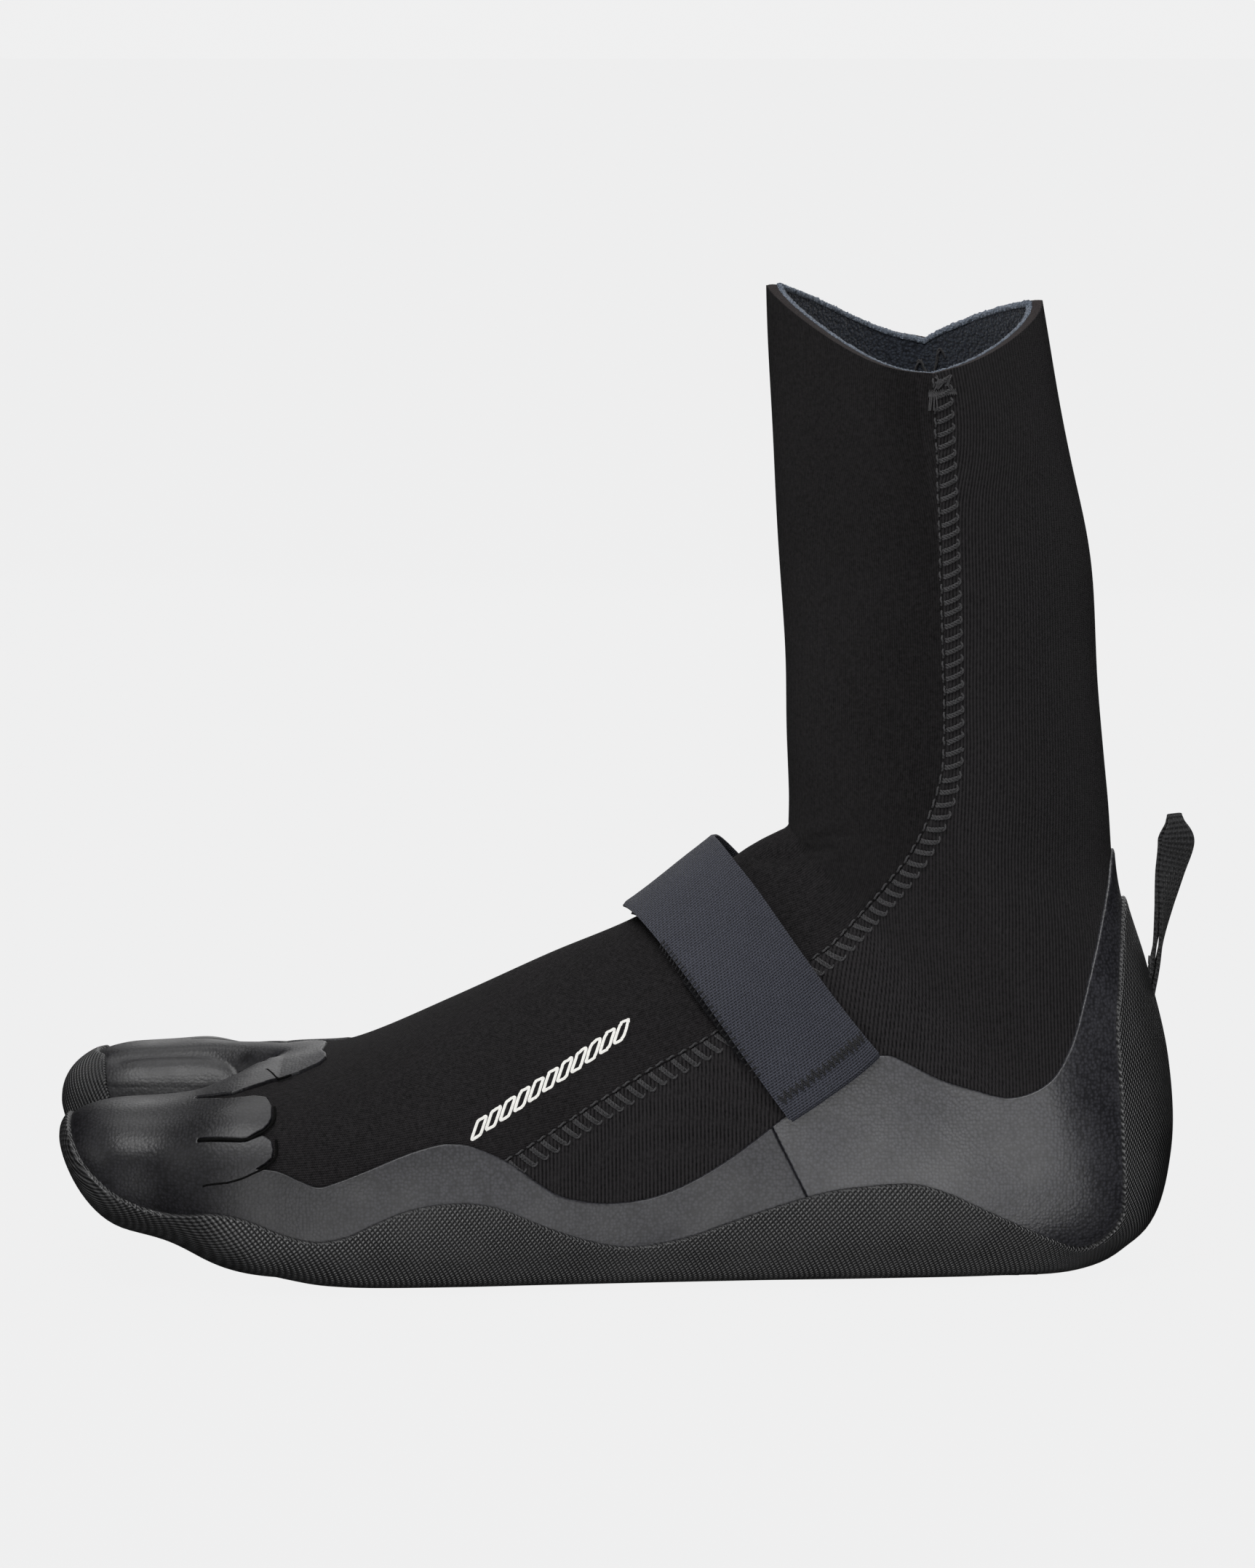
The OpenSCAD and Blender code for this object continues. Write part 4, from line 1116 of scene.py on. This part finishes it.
def strap_ring(a, t):
    """Ring under the strap at the angle a and the share t of its width, from front to back."""
    front = 3.93 + 0.009 * np.abs(a) + 0.000145 * a * a
    back = 5.43 + 0.011 * np.abs(a) + 0.00017 * a * a
    return front + (back - front) * t


def strap_arch(a, t):
    """Gap that the strap bridges over the instep."""
    return (0.7 + 4.2 * t - 0.9 * t * t) * np.exp(-((a / 32) ** 2))


def strap_point(a, t, d, arch=1.0):
    """Point of the strap at the height d over the foot."""
    return surface(strap_ring(a, t), a, d + arch * strap_arch(a, t))


def strap_sheet(name, start, end, t0, t1, low, high, material, slot, body, replaces=(), arch=1.0,
                cols=120, rows=30, skew_start=0.0):
    """Piece of webbing between two angles, thinner along its woven edges."""
    t = np.linspace(t0, t1, rows)[:, None]
    c = np.linspace(0, 1, cols)[None, :]
    a = (start - skew_start * t) * (1 - c) + (end - FLAP_SKEW * t * (end > 40)) * c
    rim = np.clip(np.minimum(t - t0, t1 - t) * STRAP_WIDE / 0.7, 0, 1)
    tip = np.clip(np.minimum(c, 1 - c) * np.abs(end - start), 0, 1)
    swell = np.sqrt(1 - (1 - rim) ** 2) * np.sqrt(1 - (1 - tip) ** 2)
    middle = (low + high) / 2
    outer, inner = (strap_point(a, t, middle + (face - middle) * (0.35 + 0.65 * swell), arch)
                    for face in (high, low))
    points, faces = grid_solid(outer, inner)
    run = running(outer, 1).mean(0)
    uv = np.stack(np.broadcast_arrays(run, t * STRAP_WIDE), -1).reshape(-1, 2)
    return to_object(name, points, faces, material, slot, body, replaces, np.concatenate([uv, uv]), 50)


strap_sheet("strap_base_tape", -44, 66, 0.03, 0.97, BASE_IN, BASE_OUT, WEBBING, "webbing", "foot",
            ("strap_base",), arch=0.0)
strap_sheet("strap_anchor_tape", -68, -53, 0.0, 1.0, BASE_IN, BASE_OUT + 0.6, WEBBING, "webbing", "foot",
            ("strap_anchor",), arch=0.0, cols=30)
strap_sheet("strap_flap_tape", FOLD, FLAP_END, 0.0, 1.0, FLAP_IN, FLAP_OUT, WEBBING, "webbing",
            "strap_flap", ("strap_flap",), cols=170)
strap_sheet("strap_hook_pad", 42, FLAP_END - 12, -0.035, 0.9, BASE_OUT + 0.05, HOOK_OUT, HOOK_TAPE,
            "hook_tape", "strap_flap", ("hook_patch",), cols=50)
strap_sheet("strap_end_fold", FLAP_END - 7, FLAP_END + 0.5, 0.012, 0.99, 1.35, 2.5, WEBBING, "webbing",
            "strap_flap", ("strap_end_tab",), cols=30, arch=0.0, skew_start=10)


def strap_threads():
    """Zigzag over the end of the flap, and small overcast stitches along its lower front edge."""
    paths = []
    count = 34
    zig = np.arange(count + 1)
    t = np.linspace(0.03, 0.97, count + 1)
    # Real zigzag stitching, whose near-black colour also paints the shadow row along it.
    a = FLAP_END - 3.3 - FLAP_SKEW * t + np.where(zig % 2, 0.7, -0.7) + rng.normal(0, 0.12, count + 1)
    fine = np.linspace(0, count, count * 5 + 1)
    height = FLAP_OUT + 0.1 + 0.22 * np.abs(np.sin(math.pi * fine))
    paths.append(strap_point(np.interp(fine, zig, a), np.interp(fine, zig, t), height))
    paths.append(strap_point(np.interp(fine, zig, a) - 0.5, np.interp(fine, zig, t) + 0.01, height - 0.05))
    share = np.linspace(0, 1, 6)
    for a0 in np.arange(30, 69, 1.35):
        rise = np.where(share < 0.5, FLAP_OUT + 0.12, FLAP_OUT + 0.12 - (share - 0.5) * 2.6)
        paths.append(strap_point(a0 + 0.5 * share, 0.035 - 0.06 * share, rise))
    threads("strap_end_stitching", paths, 0.17, DARK_THREAD, "thread", "strap_flap", ("strap_stitch",))


strap_threads()

# ---------------------------------------------------------------- heel loop

LOOP_TAPE_HALF = 0.55


def heel_loop():
    """Tape doubled into a loop, twisted towards its top so that its face turns to the side."""
    n = 90
    s = np.linspace(0, 1, n)
    spine = curve([(132.6, 0, 68), (134.4, 0, 78), (136.2, 0, 90), (138, 0.4, 101), (139.6, 0.8, 109),
                   (139.2, 1.0, 115.2)], 18)
    spine = spine[np.linspace(0, len(spine) - 1, n).astype(int)]
    ahead = unit(np.gradient(spine, axis=0))
    turn = np.radians(76) * smooth((s - 0.15) / 0.75)
    wide = np.stack([np.sin(turn), np.cos(turn), 0 * s], 1)
    wide = unit(wide - (wide * ahead).sum(1)[:, None] * ahead)
    face = np.cross(ahead, wide)
    gap = 0.72 + 0.9 * np.exp(-(((s - 0.84) / 0.1) ** 2))
    width = 8.7 * (1 - 0.55 * smooth((s - 0.8) / 0.2) ** 1.3)
    c = np.linspace(-1, 1, 13)
    order = np.concatenate([np.arange(n), np.arange(n)[::-1]])
    sides = np.concatenate([np.ones(n), -np.ones(n)])
    up = s[order]
    centre = spine[order] + face[order] * (sides * gap[order] * (1 - smooth((up - 0.97) / 0.03)))[:, None]
    centre = centre + ahead[order] * (0.9 * smooth((up - 0.96) / 0.04))[:, None]
    out = unit(np.cross(wide[order], unit(np.gradient(centre, axis=0))))
    out = out * np.sign((out * face[order]).sum(1) * sides + 1e-6)[:, None]
    mid = centre[:, None] + wide[order][:, None] * (c[None, :, None] * width[order][:, None, None] / 2)
    half = LOOP_TAPE_HALF * (0.3 + 0.7 * np.sqrt(np.clip(1 - np.abs(c) ** 5, 0, 1))[None, :, None])
    outer, inner = mid + out[:, None] * half, mid - out[:, None] * half
    points, faces = grid_solid(outer, inner)
    run = running(centre[:, None], 0)[:, 0]
    uv = np.stack(np.broadcast_arrays(run[:, None], c[None] * 5), -1).reshape(-1, 2)
    to_object("heel_loop_tape", points, faces, LOOP_TAPE, "loop_tape", "pull_loop", ("pull_loop",),
              np.concatenate([uv, uv]), 60)


heel_loop()
zig = np.arange(15)
stitch_line = np.stack([np.full(15, 133.2), np.linspace(-3.6, 3.6, 15), 78.3 + np.where(zig % 2, 1, -1)], 1)
threads("heel_loop_stitching", [stitch_line], 0.25, THREAD, "thread", "pull_loop", ("pull_loop_stitch",))

# ---------------------------------------------------------------- tread

TREAD_INSET = 19
BAR = 3.4
GROOVE = 1.5


def tread(name, node, start, end):
    """Flat pad of chevron bars under the outsole, inside the outline of the foot."""
    u = np.linspace(start, end, 60)
    s = row(RINGS, u)
    share = np.linspace(-1, 1, 60)
    ends = 0.55 + 0.45 * np.sqrt(1 - share**4)
    xs, lateral, medial = s[:, 2], -(s[:, 4] - TREAD_INSET) * ends, (s[:, 5] - TREAD_INSET) * ends
    all_points, all_faces, count = [], [], 0
    for x0 in np.arange(xs[0] + 1, xs[-1] - BAR, BAR + GROOVE):
        y0, y1 = np.interp(x0 + BAR, xs, lateral), np.interp(x0 + BAR, xs, medial)
        y = np.linspace(y0, y1, 31)
        bend = 2.2 * np.abs(((y / 11) % 2) - 1) - 1.1
        for z, grow in ((0.0, -0.2), (0.2, 0.0), (1.2, 0.0)):
            all_points += [np.stack([x0 + bend - grow, y, np.full(31, z)], 1),
                           np.stack([x0 + BAR + bend + grow, y, np.full(31, z)], 1)]
        base = count + np.arange(6 * 31).reshape(6, 31)
        loop = base[[0, 1, 3, 5, 4, 2]]
        nxt = np.roll(loop, -1, 0)
        all_faces.append(quads(loop[:, :-1], nxt[:, :-1], nxt[:, 1:], loop[:, 1:]))
        for column, flip in ((0, 1), (30, -1)):
            ring = loop[:, column][::flip]
            all_faces.append(np.stack([np.full(4, ring[0]), ring[2:], ring[1:-1]], 1))
        count += 6 * 31
    points, faces = np.concatenate(all_points), np.concatenate(all_faces)
    to_object(name, points, faces, TREAD_RUBBER, "outsole_rubber", "foot", (node,), None, 30)


tread("tread_forefoot_bars", "tread_forefoot", 0.7, 3.3)
tread("tread_heel_bars", "tread_heel", 5.9, 7.9)

# ---------------------------------------------------------------- printed mark

# x and z of the first bar and of the step to the next, and half a bar's width and height
MARK_BARS = 11
MARK_START = (-37, 42.6)
MARK_STEP = (3.55, 2.25)
MARK_HALF = (1.15, 2.3)
MARK_SQUARENESS = 7


def printed_mark():
    """Row of plain slanted hollow bars."""
    paths, ups = [], []
    corner = np.linspace(0, 2 * math.pi, 41)
    c, n = np.cos(corner), np.sin(corner)
    x = MARK_HALF[0] * np.sign(c) * np.abs(c) ** (2 / MARK_SQUARENESS)
    y = MARK_HALF[1] * np.sign(n) * np.abs(n) ** (2 / MARK_SQUARENESS)
    for k in range(MARK_BARS):
        x0, z0 = MARK_START[0] + MARK_STEP[0] * k, MARK_START[1] + MARK_STEP[1] * k
        path = np.stack([x0 + x + 0.35 * y, np.full(41, -60.0), z0 + y + 0.55 * x], 1)
        first, _ = settle(drop_on(path), 0.06)
        point, up = settle(first, 0.06)
        paths.append(point)
        ups.append(up)
    threads("printed_bars", paths, 0.36, INK, "print_ink", "foot", ("print_mark",), 6, 0.2, ups)


def drop_on(points):
    """Points moved along Y onto the lateral face."""
    lateral = GRID[:, :SPLIT_COLUMN].reshape(-1, VALUES)
    out = points.copy()
    for k, p in enumerate(points):
        gap = (lateral[:, X] - p[0]) ** 2 + (lateral[:, Z] - p[2]) ** 2
        out[k, 1] = lateral[gap.argmin(), Y]
    return out


printed_mark()

# ---------------------------------------------------------------- stage, lights and camera

EYE = math.radians(11)
CAMERA_AWAY = 1.7
FRAME_MIDDLE = 0.1234


def studio():
    """Plain pale floor and backdrop, soft lights and the camera."""
    scene = bpy.context.scene
    scene.view_settings.view_transform = "Standard"
    world = bpy.data.worlds.new("studio")
    scene.world = world
    world.use_nodes = True
    world.node_tree.nodes["Background"].inputs[0].default_value = (0.868, 0.868, 0.870, 1)
    world.cycles_visibility.diffuse = False
    world.cycles_visibility.glossy = False
    bpy.ops.mesh.primitive_plane_add(size=60)
    floor = bpy.context.object
    floor.name = "floor"
    g = Graph("pale_floor", (0.01, 0.01, 0.01), 1.0, 0.0)
    g.shader.inputs["Emission Color"].default_value = (0.868, 0.868, 0.870, 1)
    g.shader.inputs["Emission Strength"].default_value = 0.985
    floor.data.materials.append(g.material)
    floor.visible_diffuse = False
    floor.visible_glossy = False
    floor.visible_shadow = False
    for name, place, power, size in (
            ("key", (-0.3, -1.15, 1.75), 29, 1.2), ("top", (-0.1, 0.5, 2.0), 13, 1.4),
            ("front", (0.25, -2.1, 0.55), 6.5, 1.5), ("low", (0.1, -1.3, -0.45), 10, 1.2),
            ("left", (-1.7, -0.7, 0.5), 3.5, 1.0), ("back", (0.3, 1.6, 0.8), 8, 1.5)):
        light = bpy.data.lights.new(name, "AREA")
        light.energy = power
        light.size = size
        lamp = bpy.data.objects.new(name, light)
        lamp.location = place
        aim = np.array((0, 0, 0.08)) - np.array(place)
        lamp.rotation_euler = mathutils.Vector(aim).to_track_quat("-Z", "Y").to_euler()
        scene.collection.objects.link(lamp)
    camera = bpy.data.cameras.new("camera")
    camera.lens = 151.8
    camera.sensor_width = 36
    camera.clip_end = 100
    holder = bpy.data.objects.new("camera", camera)
    back = np.array((0, -math.cos(EYE), math.sin(EYE)))
    up = np.array((0, math.sin(EYE), math.cos(EYE)))
    holder.location = back * CAMERA_AWAY
    look = up * FRAME_MIDDLE - back * CAMERA_AWAY
    holder.rotation_euler = mathutils.Vector(look).to_track_quat("-Z", "Y").to_euler()
    scene.collection.objects.link(holder)
    scene.camera = holder


studio()
